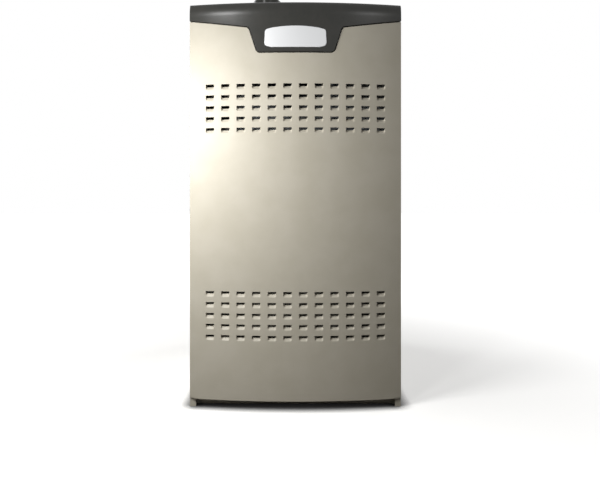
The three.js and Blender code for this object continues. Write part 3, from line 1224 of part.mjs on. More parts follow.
function placed(mesh, x, y, z) {
  mesh.position.set(x, y, z);
  return mesh;
}

function group(...members) {
  const holder = new THREE.Group();
  holder.add(...members);
  return holder;
}

// ---------------------------------------------------------------- assembly
const cabinet = group(
  piece('cabinet_wrapper', cabinetWrapper(), 'champagne_paint'),
  piece('base_pan', basePan(), 'galvanised'),
  piece('top_panel', topPanel(), 'champagne_paint'),
  piece('front_header', frontHeader(), 'galvanised'),
  piece('blower_deck', blowerDeck(), 'galvanised'),
  piece('vestibule_panel', vestibulePanel(), 'galvanised'),
  piece('insulation_liner', insulationLiner(), 'foil_blanket'),
  piece('blower_access_panel', accessPanel(), 'grey_paint'),
  piece('sight_glass', sightGlass(), 'clear_glass'),
  piece('top_cap', topCap(), 'charcoal_plastic'),
  piece('badge_plate', bowSlab(badgeOutline(0), CAP_FRONT - BADGE_PROUD, BADGE_THICKNESS), 'silver_plate'),
);

const door = group(
  piece('front_door', frontDoor(), 'champagne_paint'),
  piece('door_stiffener_lower', stiffener(SWITCH_Z - STIFFENER_HEIGHT / 2), 'galvanised'),
  piece('door_stiffener_upper', stiffener(UPPER_GROUP_TOP + STIFFENER_RISE), 'galvanised'),
  piece('door_pad', doorPad(), 'foil_blanket'),
);
for (const [side, x] of [['left', -STUD_X], ['right', STUD_X]]) {
  door.add(placed(piece(`door_stud_${side}`, doorStud(), 'galvanised'), x, 0, STUD_Z));
  cabinet.add(placed(piece(`stud_bush_${side}`, studBush(), 'black_plastic'), x, CABINET_FRONT, STUD_Z));
}

const heatExchanger = group(
  piece('cell_support', cellRack(), 'aluminised_steel'),
  piece('collector_box', collectorBox(), 'aluminised_steel'),
);
const burnerSet = group(
  piece('burner_rack', burnerRack(), 'galvanised'),
  piece('gas_manifold', gasManifold(), 'black_pipe'),
  piece('igniter', igniter(), 'ceramic'),
  piece('flame_sensor', flameSensor(), 'ceramic'),
);
for (let i = 0; i < CELL_COUNT; i += 1) {
  const cell = piece(`heat_cell_${i + 1}`, heatCell(), 'aluminised_steel');
  heatExchanger.add(placed(cell, cellX(i), 0, 0));
  const inshot = piece(`burner_${i + 1}`, burner(), 'aluminised_steel');
  burnerSet.add(placed(inshot, cellX(i), BURNER_MOUTH, CELL_FIRST_PASS));
}
const gasTrain = group(
  piece('gas_valve', gasValve(), 'cast_aluminium'),
  piece('gas_valve_knob', valveKnob(), 'black_plastic'),
  piece('gas_inlet_pipe', gasInletPipe(), 'black_pipe'),
  piece('gas_grommet', gasGrommet(), 'rubber'),
);
const ventSystem = group(
  piece('inducer_housing', inducerHousing(), 'motor_black'),
  piece('inducer_wheel', inducerWheel(), 'galvanised'),
  piece('inducer_motor', inducerMotor(), 'motor_black'),
  placed(piece('vent_pipe', ventPipe(), 'galvanised'), VENT_X, VENT_Y, 0),
  placed(piece('vent_collar', ventCollar(), 'charcoal_plastic'), VENT_X, VENT_Y, 0),
);
const airBlower = group(
  piece('blower_housing', blowerHousing(), 'galvanised'),
  piece('blower_wheel', blowerWheel(), 'galvanised'),
  piece('blower_motor', blowerMotor(), 'motor_black'),
  piece('motor_mount', motorMount(), 'galvanised'),
);
const controls = group(
  piece('control_box', controlBox(), 'galvanised'),
  piece('control_board', controlBoard(), 'board_green'),
  piece('transformer', transformer(), 'motor_black'),
  piece('door_switch', doorSwitch(), 'black_plastic'),
  piece('door_switch_pin', switchPin(), 'red_plastic'),
  piece('pressure_switch', pressureSwitch(), 'black_plastic'),
  piece('pressure_hose', pressureHose(), 'rubber'),
  piece('limit_switch', limitSwitch(), 'black_plastic'),
  piece('junction_box', junctionBox(), 'galvanised'),
  piece('junction_cover', junctionCover(), 'galvanised'),
);
for (const [side, x] of [['left', -ROLLOUT_X], ['right', ROLLOUT_X]]) {
  controls.add(piece(`rollout_switch_${side}`, rolloutSwitch(x), 'black_plastic'));
  controls.add(piece(`rollout_reset_${side}`, resetButton(x), 'red_plastic'));
}

const furnace = group(cabinet, door, heatExchanger, burnerSet, gasTrain, ventSystem, airBlower, controls);
furnace.name = 'forced_air_gas_furnace';
export default furnace;
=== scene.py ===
import json
import math

import bmesh
import bpy
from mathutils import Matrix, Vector
from mathutils.bvhtree import BVHTree


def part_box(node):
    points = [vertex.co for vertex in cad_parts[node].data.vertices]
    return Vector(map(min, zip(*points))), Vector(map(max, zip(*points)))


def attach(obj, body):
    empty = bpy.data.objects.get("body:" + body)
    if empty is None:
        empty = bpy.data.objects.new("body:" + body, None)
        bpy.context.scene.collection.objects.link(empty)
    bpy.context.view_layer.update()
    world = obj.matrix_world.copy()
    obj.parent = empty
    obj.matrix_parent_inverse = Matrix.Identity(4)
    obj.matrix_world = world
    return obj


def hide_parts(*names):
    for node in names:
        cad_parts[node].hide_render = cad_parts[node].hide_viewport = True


# The looks of a forced air gas furnace: a sheet metal cabinet behind one bowed, louvred door.
# Metres, +Z up, the door faces -Y, and the origin is under the middle of the cabinet.
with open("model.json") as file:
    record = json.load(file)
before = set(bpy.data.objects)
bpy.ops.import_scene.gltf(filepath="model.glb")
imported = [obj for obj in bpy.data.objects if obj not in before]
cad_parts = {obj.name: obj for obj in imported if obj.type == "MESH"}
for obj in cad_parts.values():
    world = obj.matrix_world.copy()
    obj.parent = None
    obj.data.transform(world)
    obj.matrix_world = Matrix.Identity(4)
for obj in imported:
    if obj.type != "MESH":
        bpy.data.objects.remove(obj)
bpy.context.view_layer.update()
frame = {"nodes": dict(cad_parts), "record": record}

MM = 0.001

# ---------------------------------------------------------------- sizes
DOOR_LOW, DOOR_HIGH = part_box("front_door")
CAP_LOW, CAP_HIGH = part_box("top_cap")
BADGE_LOW, BADGE_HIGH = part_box("badge_plate")
WRAPPER_LOW, WRAPPER_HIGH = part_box("cabinet_wrapper")
PANEL_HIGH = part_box("top_panel")[1]
ACCESS_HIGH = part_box("blower_access_panel")[1]
COLLAR_LOW, COLLAR_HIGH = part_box("vent_collar")
PIPE_LOW, PIPE_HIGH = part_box("vent_pipe")

HALF_WIDTH = DOOR_HIGH.x
DOOR_FRONT = DOOR_LOW.y
DOOR_BOTTOM = DOOR_LOW.z
CABINET_TOP = CAP_HIGH.z
DOOR_BOW = 24.5 * MM
BOW_RADIUS = (HALF_WIDTH ** 2 + DOOR_BOW ** 2) / (2 * DOOR_BOW)
SHEET = 1.2 * MM
SIDE_FOLD = 1.6 * MM
HEM_FOLD = 4 * MM
REVEAL = 2 * MM

COLUMNS = 12
ROWS = 5
COLUMN_PITCH = 39 * MM
ROW_PITCH = 27.3 * MM
LOUVRE_WIDTH = 21.5 * MM
LOUVRE_HEIGHT = 14 * MM
LOUVRE_RISE = 8 * MM
LOUVRE_DEPTH = 6 * MM
LOUVRE_TAPER = 1.8 * MM
LOUVRE_CORNER = 3.2 * MM
LOUVRE_LIP_CORNER = 2.2 * MM
LOUVRE_POINTS = 15  # along the drawn edge of one opening
LOUVRE_RIM = 0.5 * MM  # flat land that keeps the sheet round each opening flat
UPPER_GROUP_TOP = 811.8 * MM
LOWER_GROUP_TOP = 293.5 * MM
ROW_MARGIN = (ROW_PITCH - LOUVRE_HEIGHT) / 2
FIELD_HALF = COLUMNS * COLUMN_PITCH / 2

CAP_FRONT = CAP_LOW.y
CAP_BACK = CAP_HIGH.y
CAP_WALL = 3 * MM
CAP_CROWN_HEIGHT = 34 * MM  # the round top edge starts this far under the top
CAP_CROWN_DEPTH = 12 * MM  # and leans back by this
CAP_SIDE_DROP = 42.5 * MM
CAP_SHOULDER_HALF = 116 * MM
CAP_SHOULDER_DROP = 63 * MM
CAP_TAB_HALF = 95.5 * MM
CAP_TAB_DROP = 126 * MM
CAP_CORNER_RADIUS = 11 * MM
CAP_EDGE = 1.4 * MM
CAP_CROWN_STEPS = 10
BADGE_HALF = BADGE_HIGH.x
BADGE_CLEARANCE = 0.5 * MM
BADGE_RECESS = 1.2 * MM
BADGE_EDGE = 0.9 * MM
BADGE_SHOULDER = 18 * MM  # the arch ends this far from each end
BADGE_ARCH = 5 * MM
BADGE_ARCH_STEPS = 6
FEET_DEPTH = 3 * MM  # the base pan is painted to this far behind the cabinet's front edges

PIPE_WALL = 1.6 * MM
COLLAR_GAP = 0.5 * MM  # between the pipe and the collar's bore
COLLAR_FLANGE = 4 * MM
COLLAR_NECK = 38 * MM
COLLAR_TOP_RADIUS = 29 * MM
COLLAR_SHOULDER = 7 * MM

FLOOR_COLOUR = "#F2F1EE"

SCREW_ROWS = (0.06, 0.36, 0.66, 0.96)
SCREW_FRONT_INSET = 26 * MM
SCREW_BACK_INSET = 14 * MM
BACK_SCREW_X = 0.25
TOP_SCREW_X = 0.252
TOP_SCREW_DEPTHS = (-0.2, 0.33)
ACCESS_SCREW_INSET = 14 * MM
VESTIBULE_SCREW_INSET = 12 * MM
KNOCK_OUT_PLACES = ((-0.255, 0.9), (-0.215, 0.9), (-0.255, 0.31))  # depth and height


# ---------------------------------------------------------------- small tools
def colour(text):
    """A sRGB hex colour as linear red, green, blue and alpha."""
    parts = [int(text[i:i + 2], 16) / 255 for i in (1, 3, 5)]
    return (*(p / 12.92 if p <= 0.04045 else ((p + 0.055) / 1.055) ** 2.4 for p in parts), 1)


def add(tree, kind, settings=None, inputs=None):
    """One node with its settings; an input is a value, or the socket to link it to."""
    made = tree.nodes.new(kind)
    for name, value in (settings or {}).items():
        setattr(made, name, value)
    for name, value in (inputs or {}).items():
        if isinstance(value, bpy.types.NodeSocket):
            tree.links.new(value, made.inputs[name])
        else:
            made.inputs[name].default_value = value
    return made


def applied(piece):
    """The piece with its modifiers made final, as a plain mesh."""
    depsgraph = bpy.context.evaluated_depsgraph_get()
    mesh = bpy.data.meshes.new_from_object(piece.evaluated_get(depsgraph), depsgraph=depsgraph)
    piece.modifiers.clear()
    piece.data = mesh
    return piece


def object_of(name, mesh):
    made = bpy.data.objects.new(name, mesh)
    bpy.context.scene.collection.objects.link(made)
    return made


def shaded(mesh, angle=35):
    """Smooth faces, with edges sharper than the angle kept crisp."""
    mesh.polygons.foreach_set("use_smooth", [True] * len(mesh.polygons))
    mesh.set_sharp_from_angle(angle=math.radians(angle))
    mesh.update()


def weighted(piece):
    """Large flat faces stay flat in the shading beside small folds."""
    modifier = piece.modifiers.new("flat faces lead", "WEIGHTED_NORMAL")
    modifier.keep_sharp = True
    modifier.weight = 100
    return applied(piece)


def finished(piece, body, slot, *replaced):
    """The piece gets its material, rides its body and stands for the nodes that it replaces."""
    piece.data.materials.clear()
    piece.data.materials.append(MATERIALS[slot])
    for polygon in piece.data.polygons:
        polygon.material_index = 0
    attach(piece, body)
    if replaced:
        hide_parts(*replaced)
    return piece


def rounded(corners, radii, steps=4):
    """An outline in the plane with each corner rounded by its own radius."""
    points = []
    for i, (corner, radius) in enumerate(zip(corners, radii)):
        corner = Vector(corner)
        if not radius:
            points.append(corner)
            continue
        before = (Vector(corners[i - 1]) - corner).normalized()
        after = (Vector(corners[(i + 1) % len(corners)]) - corner).normalized()
        half = before.angle(after) / 2
        centre = corner + (before + after).normalized() * radius / math.sin(half)
        start = corner + before * radius / math.tan(half) - centre
        end = corner + after * radius / math.tan(half) - centre
        sweep = start.angle_signed(end)
        for k in range(steps + 1):
            turn = -sweep * k / steps
            cosine, sine = math.cos(turn), math.sin(turn)
            points.append(centre + Vector((start.x * cosine - start.y * sine,
                                           start.x * sine + start.y * cosine)))
    return points


def grown(corners, distance):
    """A counter-clockwise outline with every edge moved outwards."""
    moved = []
    for i, corner in enumerate(corners):
        corner = Vector(corner)
        before = (corner - Vector(corners[i - 1])).normalized()
        after = (Vector(corners[(i + 1) % len(corners)]) - corner).normalized()
        bisector = Vector((before.y + after.y, -before.x - after.x)).normalized()
        moved.append(corner + bisector * distance / bisector.dot(Vector((before.y, -before.x))))
    return moved


def evenly(path, count):
    """Points at even steps along a path."""
    lengths = [0]
    for a, b in zip(path, path[1:]):
        lengths.append(lengths[-1] + (b - a).length)
    points = []
    for k in range(count):
        target = lengths[-1] * k / (count - 1)
        i = max(j for j in range(len(path) - 1) if lengths[j] <= target + 1e-12)
        share = (target - lengths[i]) / (lengths[i + 1] - lengths[i])
        points.append(path[i].lerp(path[i + 1], min(1, share)))
    return points


def steps_between(start, end, count):
    return [start + (end - start) * k / count for k in range(count + 1)]


def bowed(x, front):
    """The y of the bow at x, for a bow whose middle is at front."""
    return front + BOW_RADIUS - math.sqrt(BOW_RADIUS ** 2 - x ** 2)


# ---------------------------------------------------------------- materials
def surface(name, base, metallic, roughness):
    """A material with one shader; numbers that are the same all over go on its own sockets."""
    material = bpy.data.materials.new(name)
    material.use_nodes = True
    tree = material.node_tree
    shader = tree.nodes["Principled BSDF"]
    shader.inputs["Base Color"].default_value = colour(base)
    shader.inputs["Metallic"].default_value = metallic
    shader.inputs["Roughness"].default_value = roughness
    return material, tree, shader


def place_on(tree):
    return add(tree, "ShaderNodeTexCoord").outputs["Object"]


def speckle(tree, size, detail=2.0, rough=0.5):
    """Noise whose lumps are about one size across."""
    return add(tree, "ShaderNodeTexNoise", None, {
        "Vector": place_on(tree), "Scale": 1 / size, "Detail": detail, "Roughness": rough})


def blended(tree, factor, low, high):
    """A colour between two, by a factor."""
    ramp = add(tree, "ShaderNodeValToRGB", None, {"Fac": factor})
    ramp.color_ramp.elements[0].position = 0.35
    ramp.color_ramp.elements[1].position = 0.65
    ramp.color_ramp.elements[0].color = colour(low)
    ramp.color_ramp.elements[1].color = colour(high)
    return ramp.outputs["Color"]


def raised(tree, shader, height, distance):
    """A surface relief with its real height."""
    relief = add(tree, "ShaderNodeBump", None, {
        "Height": height, "Distance": distance, "Strength": 1.0})
    tree.links.new(relief.outputs["Normal"], shader.inputs["Normal"])


def between(tree, value, low, high):
    """A number that varies between two."""
    spread = add(tree, "ShaderNodeMapRange", None, {"Value": value, "To Min": low, "To Max": high})
    return spread.outputs["Result"]


def baked_enamel(name, low, high, rough):
    # Polyester powder baked on steel: a fine orange peel about 1.5 mm across and 8 micrometres
    # deep, drawn a little deeper so that it breaks up the gloss.
    material, tree, shader = surface(name, high, 0.0, rough)
    shader.inputs["Specular IOR Level"].default_value = 0.35
    shade = speckle(tree, 60 * MM, 3)
    tree.links.new(blended(tree, shade.outputs["Fac"], low, high), shader.inputs["Base Color"])
    peel = speckle(tree, 1.5 * MM, 1)
    raised(tree, shader, peel.outputs["Fac"], 0.02 * MM)
    return material


def moulded_plastic(name, low, high, rough, grain, depth):
    # Injection moulded: the tool's spark-eroded grain leaves a fine even pebble.
    material, tree, shader = surface(name, high, 0.0, rough)
    shader.inputs["Specular IOR Level"].default_value = 0.32
    shade = speckle(tree, 25 * MM, 3)
    tree.links.new(blended(tree, shade.outputs["Fac"], low, high), shader.inputs["Base Color"])
    pebble = speckle(tree, grain, 2)
    raised(tree, shader, pebble.outputs["Fac"], depth)
    return material


def galvanised_steel():
    # Hot-dip zinc: crystals of about 9 mm, each with its own tone and gloss, under a dull bloom.
    material, tree, shader = surface("hot_dip_galvanised_steel", "#A9ADB0", 0.85, 0.42)
    crystals = add(tree, "ShaderNodeTexVoronoi", None, {"Vector": place_on(tree), "Scale": 1 / (9 * MM)})
    tone = add(tree, "ShaderNodeSeparateColor", None, {"Color": crystals.outputs["Color"]})
    tree.links.new(blended(tree, tone.outputs["Red"], "#A1A5A8", "#B3B6B9"), shader.inputs["Base Color"])
    tree.links.new(between(tree, tone.outputs["Green"], 0.4, 0.5), shader.inputs["Roughness"])
    raised(tree, shader, speckle(tree, 0.8 * MM, 2).outputs["Fac"], 0.01 * MM)
    return material


def aluminised_steel():
    # Aluminium-silicon coated sheet: fine, matt and slightly streaked, warmer where it gets hot.
    material, tree, shader = surface("aluminised_steel", "#9A9DA0", 0.8, 0.45)
    streaks = add(tree, "ShaderNodeMapping", None, {
        "Vector": place_on(tree), "Scale": (1, 0.08, 1)})
    lines = add(tree, "ShaderNodeTexNoise", None, {
        "Vector": streaks.outputs["Vector"], "Scale": 1 / (1.2 * MM), "Detail": 2.0})
    heat = speckle(tree, 120 * MM, 2)
    tree.links.new(blended(tree, heat.outputs["Fac"], "#8F8B83", "#A3A7AB"), shader.inputs["Base Color"])
    tree.links.new(between(tree, lines.outputs["Fac"], 0.34, 0.55), shader.inputs["Roughness"])
    raised(tree, shader, lines.outputs["Fac"], 0.012 * MM)
    return material


def foil_blanket():
    # Aluminium foil glued to glass wool: soft creases about 30 mm apart and a 10 mm scrim.
    material, tree, shader = surface("foil_faced_glass_wool", "#C4C6C8", 0.9, 0.3)
    creases = speckle(tree, 22 * MM, 6, 0.65)
    tree.links.new(between(tree, creases.outputs["Fac"], 0.2, 0.45), shader.inputs["Roughness"])
    raised(tree, shader, creases.outputs["Fac"], 2.5 * MM)
    return material


def black_iron():
    # Black iron pipe: mill scale with rust starting in its pores.
    material, tree, shader = surface("black_iron_pipe", "#2B2B2C", 0.35, 0.55)
    pores = speckle(tree, 2 * MM, 4)
    tree.links.new(blended(tree, pores.outputs["Fac"], "#2A2826", "#38363A"), shader.inputs["Base Color"])
    raised(tree, shader, pores.outputs["Fac"], 0.08 * MM)
    return material


def die_cast_aluminium():
    # Die cast and shot blasted: an even sparkle of about 0.6 mm.
    material, tree, shader = surface("die_cast_aluminium", "#A2A4A6", 0.9, 0.5)
    blast = speckle(tree, 0.6 * MM, 2)
    tree.links.new(between(tree, blast.outputs["Fac"], 0.4, 0.6), shader.inputs["Roughness"])
    raised(tree, shader, blast.outputs["Fac"], 0.04 * MM)
    return material


def satin_aluminium_plate():
    # Anodised sheet with a satin finish: very fine horizontal brushing, 0.3 mm apart.
    material, tree, shader = surface("satin_aluminium_plate", "#D3D4D5", 0.55, 0.38)
    stretched = add(tree, "ShaderNodeMapping", None, {"Vector": place_on(tree), "Scale": (0.02, 1, 1)})
    brushing = add(tree, "ShaderNodeTexNoise", None, {
        "Vector": stretched.outputs["Vector"], "Scale": 1 / (0.3 * MM), "Detail": 1.0})
    tree.links.new(between(tree, brushing.outputs["Fac"], 0.32, 0.46), shader.inputs["Roughness"])
    raised(tree, shader, brushing.outputs["Fac"], 0.01 * MM)
    return material


def circuit_board():
    # Glass epoxy with green solder mask: copper tracks show as slightly lighter, raised lines.
    material, tree, shader = surface("circuit_board_epoxy", "#1F4A34", 0.0, 0.32)
    tracks = add(tree, "ShaderNodeTexVoronoi", {"feature": "DISTANCE_TO_EDGE", "distance": "EUCLIDEAN"}, {
        "Vector": place_on(tree), "Scale": 1 / (7 * MM), "Randomness": 0.4})
    tree.links.new(blended(tree, tracks.outputs["Distance"], "#2F6B48", "#1D4631"),
                   shader.inputs["Base Color"])
    return material


def fired_ceramic():
    # Unglazed steatite: matt, slightly chalky.
    material, tree, shader = surface("steatite_ceramic", "#E4DFD2", 0.0, 0.75)
    chalk = speckle(tree, 3 * MM, 3)
    tree.links.new(blended(tree, chalk.outputs["Fac"], "#DAD4C5", "#EAE6DB"), shader.inputs["Base Color"])
    return material


def sight_glass():
    # Borosilicate glass in a pressed ring.
    material, tree, shader = surface("borosilicate_glass", "#E9F2F2", 0.0, 0.04)
    shader.inputs["Transmission Weight"].default_value = 0.9
    smear = speckle(tree, 6 * MM, 2)
    tree.links.new(between(tree, smear.outputs["Fac"], 0.02, 0.12), shader.inputs["Roughness"])
    return material


MATERIALS = {
    "champagne_paint": baked_enamel("champagne_baked_enamel", "#B7B1A1", "#BCB6A7", 0.46),
    "grey_paint": baked_enamel("grey_baked_enamel", "#8C8A83", "#94928B", 0.5),
    "galvanised": galvanised_steel(),
    "charcoal_plastic": moulded_plastic("charcoal_moulded_abs", "#2D2D29", "#32312D",
                                        0.235, 0.7 * MM, 0.008 * MM),
    "black_plastic": moulded_plastic("black_moulded_nylon", "#1B1C1D", "#232426",
                                     0.45, 0.8 * MM, 0.03 * MM),
    "silver_plate": satin_aluminium_plate(),
    "foil_blanket": foil_blanket(),
    "aluminised_steel": aluminised_steel(),
    "black_pipe": black_iron(),
    "cast_aluminium": die_cast_aluminium(),
    "red_plastic": moulded_plastic("red_moulded_nylon", "#A02A20", "#AC2E22", 0.35, 0.8 * MM, 0.02 * MM),
    "ceramic": fired_ceramic(),
    "board_green": circuit_board(),
    "rubber": moulded_plastic("moulded_rubber", "#1A1A1A", "#222221", 0.7, 1.2 * MM, 0.03 * MM),
    "clear_glass": sight_glass(),
    "motor_black": baked_enamel("motor_enamel", "#1F2124", "#26282B", 0.35),
}


# ---------------------------------------------------------------- the door
def sheet_rows(bm, across, up):
    """A flat sheet in the plane of x and z, cut at the given lines."""
    grid = [[bm.verts.new((x, 0, z)) for x in across] for z in up]
    for low, high in zip(grid, grid[1:]):
        for i in range(len(across) - 1):
            bm.faces.new((low[i], low[i + 1], high[i + 1], high[i]))


def outline_sheet(bm, outline, across):
    """A flat sheet of any outline, cut at the given lines across."""
    face = bm.faces.new([bm.verts.new((p.x, 0, p.y)) for p in outline])
    pieces = [face]
    for x in across:
        geometry = list({v for f in pieces for v in f.verts}) + list({e for f in pieces for e in f.edges})
        result = bmesh.ops.bisect_plane(bm, geom=geometry + pieces, dist=1e-7, plane_co=(x, 0, 0),
                                        plane_no=(1, 0, 0))
        pieces = list({f for f in pieces if f.is_valid}
                      | {g for g in result["geom"] if isinstance(g, bmesh.types.BMFace)})


def bridged(bm, outer, inner):
    """The ring between two closed loops that wind the same way and start side by side."""
    i = j = 0
    while i < len(outer) or j < len(inner):
        a, b = outer[i % len(outer)], inner[j % len(inner)]
        next_a, next_b = outer[(i + 1) % len(outer)], inner[(j + 1) % len(inner)]
        nearer = (next_a.co - b.co).length <= (next_b.co - a.co).length
        if j == len(inner) or (i < len(outer) and nearer):
            bm.faces.new((a, next_a, b))
            i += 1
        else:
            bm.faces.new((a, next_b, b))
            j += 1


def louvre():
    """One pressed-in louvre in its cell of sheet: a ramp under an open slot, drawn from the metal."""
    count = LOUVRE_POINTS
    half, high = LOUVRE_WIDTH / 2, LOUVRE_HEIGHT / 2
    corners = [(-half, high), (-half, -high), (half, -high), (half, high)]
    path = rounded(corners, [0, LOUVRE_CORNER, LOUVRE_CORNER, 0], 5)
    rim = evenly(path, count)
    lip_half, lip_height = half - LOUVRE_TAPER, LOUVRE_RISE - high
    lip_corners = [(-half, high), (-lip_half, lip_height), (lip_half, lip_height), (half, high)]
    lip = evenly(rounded(lip_corners, [0, LOUVRE_LIP_CORNER, LOUVRE_LIP_CORNER, 0], 5), count)
    ramp = ((0, 0), (0.14, 0.05), (0.4, 0.34), (1, 1))  # share of the way in, share of the depth

    bm = bmesh.new()
    rings = []
    for way, depth in ramp:
        ring = []
        for i in range(count):
            ends = i in (0, count - 1)
            if ends and rings:
                ring.append(rings[0][i])
                continue
            flat = rim[i].lerp(lip[i], way)
            side = (high - lip[i].y) / (high - lip_height)  # the drawn sides run out at the top corners
            ring.append(bm.verts.new((flat.x, LOUVRE_DEPTH * depth * min(1, side), flat.y)))
        rings.append(ring)
    for outer, inner in zip(rings, rings[1:]):
        for i in range(count - 1):
            corners = [outer[i], outer[i + 1], inner[i + 1], inner[i]]
            unique = list(dict.fromkeys(corners))
            if len(unique) > 2:
                bm.faces.new(unique)
    land_corners = [(-half, high), (-half, -high), (half, -high), (half, high)]
    land_round = LOUVRE_CORNER + LOUVRE_RIM
    land_path = rounded(grown(land_corners, LOUVRE_RIM), [0, land_round, land_round, 0], 5)
    land = [bm.verts.new((p.x, 0, p.y)) for p in evenly(land_path, count)]
    for i in range(count - 1):
        bm.faces.new((land[i], land[i + 1], rings[0][i + 1], rings[0][i]))
    bm.faces.new((land[-1], land[0], rings[0][0], rings[0][-1]))
    across = steps_between(-COLUMN_PITCH / 2, COLUMN_PITCH / 2, 4)
    up = steps_between(-ROW_PITCH / 2, ROW_PITCH / 2, 2)
    border = ([(across[0], z) for z in reversed(up[1:])] + [(x, up[0]) for x in across[:-1]]
              + [(across[-1], z) for z in up[:-1]] + [(x, up[-1]) for x in reversed(across[1:])])
    bridged(bm, [bm.verts.new((x, 0, z)) for x, z in border], land)
    mesh = bpy.data.meshes.new("pressed_louvre")
    bm.to_mesh(mesh)
    bm.free()
    return object_of("pressed_louvre", mesh)


def bowed_with_louvres():
    """The node tree that sets two fields of louvres in a flat sheet and bends all of it to the bow."""
    tree = bpy.data.node_groups.new("bowed front with louvre fields", "GeometryNodeTree")
    tree.is_modifier = True
    wanted = [
        ("Geometry", "NodeSocketGeometry"), ("Louvre", "NodeSocketObject"), ("Columns", "NodeSocketInt"),
        ("Rows", "NodeSocketInt"), ("Column Pitch", "NodeSocketFloat"), ("Row Pitch", "NodeSocketFloat"),
        ("Lower Middle", "NodeSocketVector"), ("Upper Middle", "NodeSocketVector"),
        ("Bow Radius", "NodeSocketFloat"), ("Front", "NodeSocketFloat"), ("Paint", "NodeSocketMaterial")]
    for name, kind in wanted:
        tree.interface.new_socket(name, in_out="INPUT", socket_type=kind)
    tree.interface.new_socket("Geometry", in_out="OUTPUT", socket_type="NodeSocketGeometry")
    given = add(tree, "NodeGroupInput").outputs

    def maths(operation, *values):
        made = add(tree, "ShaderNodeMath", {"operation": operation}, dict(enumerate(values)))
        return made.outputs[0]

    size_x = maths("MULTIPLY", maths("SUBTRACT", given["Columns"], 1.0), given["Column Pitch"])
    size_z = maths("MULTIPLY", maths("SUBTRACT", given["Rows"], 1.0), given["Row Pitch"])
    grid = add(tree, "GeometryNodeMeshGrid", None, {
        "Size X": size_x, "Size Y": size_z, "Vertices X": given["Columns"], "Vertices Y": given["Rows"]})
    places = add(tree, "GeometryNodeJoinGeometry")
    for middle in ("Lower Middle", "Upper Middle"):
        moved = add(tree, "GeometryNodeTransform", None, {
            "Geometry": grid.outputs["Mesh"], "Translation": given[middle],
            "Rotation": (math.pi / 2, 0, 0)})
        tree.links.new(moved.outputs["Geometry"], places.inputs["Geometry"])
    pressed = add(tree, "GeometryNodeObjectInfo", None, {"Object": given["Louvre"]})
    louvres = add(tree, "GeometryNodeInstanceOnPoints", None, {
        "Points": places.outputs["Geometry"], "Instance": pressed.outputs["Geometry"]})
    real = add(tree, "GeometryNodeRealizeInstances", None, {"Geometry": louvres.outputs["Instances"]})
    whole = add(tree, "GeometryNodeJoinGeometry")
    tree.links.new(given["Geometry"], whole.inputs["Geometry"])
    tree.links.new(real.outputs["Geometry"], whole.inputs["Geometry"])
    welded = add(tree, "GeometryNodeMergeByDistance", None, {
        "Geometry": whole.outputs["Geometry"], "Distance": 0.02 * MM})
    x = add(tree, "ShaderNodeSeparateXYZ", None, {
        "Vector": add(tree, "GeometryNodeInputPosition").outputs["Position"]}).outputs["X"]
    root = maths("SQRT", maths("SUBTRACT", maths("MULTIPLY", given["Bow Radius"], given["Bow Radius"]),
                               maths("MULTIPLY", x, x)))
    depth = maths("ADD", given["Front"], maths("SUBTRACT", given["Bow Radius"], root))
    offset = add(tree, "ShaderNodeCombineXYZ", None, {"Y": depth})
    bent = add(tree, "GeometryNodeSetPosition", None, {
        "Geometry": welded.outputs["Geometry"], "Offset": offset.outputs["Vector"]})
    last = add(tree, "GeometryNodeRealizeInstances", None, {"Geometry": bent.outputs["Geometry"]})
    painted = add(tree, "GeometryNodeSetMaterial", None, {
        "Geometry": last.outputs["Geometry"], "Material": given["Paint"]})
    result = add(tree, "NodeGroupOutput")
    tree.links.new(painted.outputs["Geometry"], result.inputs["Geometry"])
    return tree


def shaped_by(piece, tree, **values):
    """The piece as the tree makes it, as a plain mesh; inputs are set by their identifiers."""
    modifier = piece.modifiers.new("shape", "NODES")
    modifier.node_group = tree
    identifiers = {item.name: item.identifier for item in tree.interface.items_tree
                   if item.item_type == "SOCKET" and item.in_out == "INPUT"}
    for name, value in values.items():
        modifier[identifiers[name.replace("_", " ")]] = value
    return applied(piece)


def cap_outline(growth):
    """The front outline of the cap, from the left end of its lower edge to the right end."""
    low, top = CABINET_TOP - CAP_TAB_DROP, CABINET_TOP
    side, shoulder = top - CAP_SIDE_DROP, top - CAP_SHOULDER_DROP
    corners = [
        (-CAP_TAB_HALF, low), (CAP_TAB_HALF, low), (CAP_SHOULDER_HALF, shoulder), (HALF_WIDTH, side),
        (HALF_WIDTH, top), (-HALF_WIDTH, top), (-HALF_WIDTH, side), (-CAP_SHOULDER_HALF, shoulder)]
    bottom, inner = CAP_CORNER_RADIUS + growth, CAP_CORNER_RADIUS - growth
    moved = grown(corners, growth)
    slope = (moved[3].y - moved[2].y) / (moved[3].x - moved[2].x)
    for sign, low_end in ((1, 3), (-1, 6)):
        moved[low_end].y += slope * (HALF_WIDTH - sign * moved[low_end].x)
        moved[low_end].x = sign * HALF_WIDTH
    points = rounded(moved, [bottom, bottom, inner, 0, 0, 0, 0, inner], 8)
    start = next(i for i, p in enumerate(points) if p.x == -HALF_WIDTH and p.y < top - 1 * MM)
    points = points[start:] + points[:start]
    return [p for p in points if p.y < top - 1 * MM]


def fold_back(bm, edges, depth):
    """Fold these edges back to one plane, as a flange behind them."""
    result = bmesh.ops.extrude_edge_only(bm, edges=edges)
    for item in result["geom"]:
        if isinstance(item, bmesh.types.BMVert):
            item.co.y = depth


def round_off(bm, edges, radius, segments=4):
    bmesh.ops.bevel(bm, geom=edges, offset=radius, offset_type="OFFSET", segments=segments,
                    profile=0.5, affect="EDGES", clamp_overlap=True)


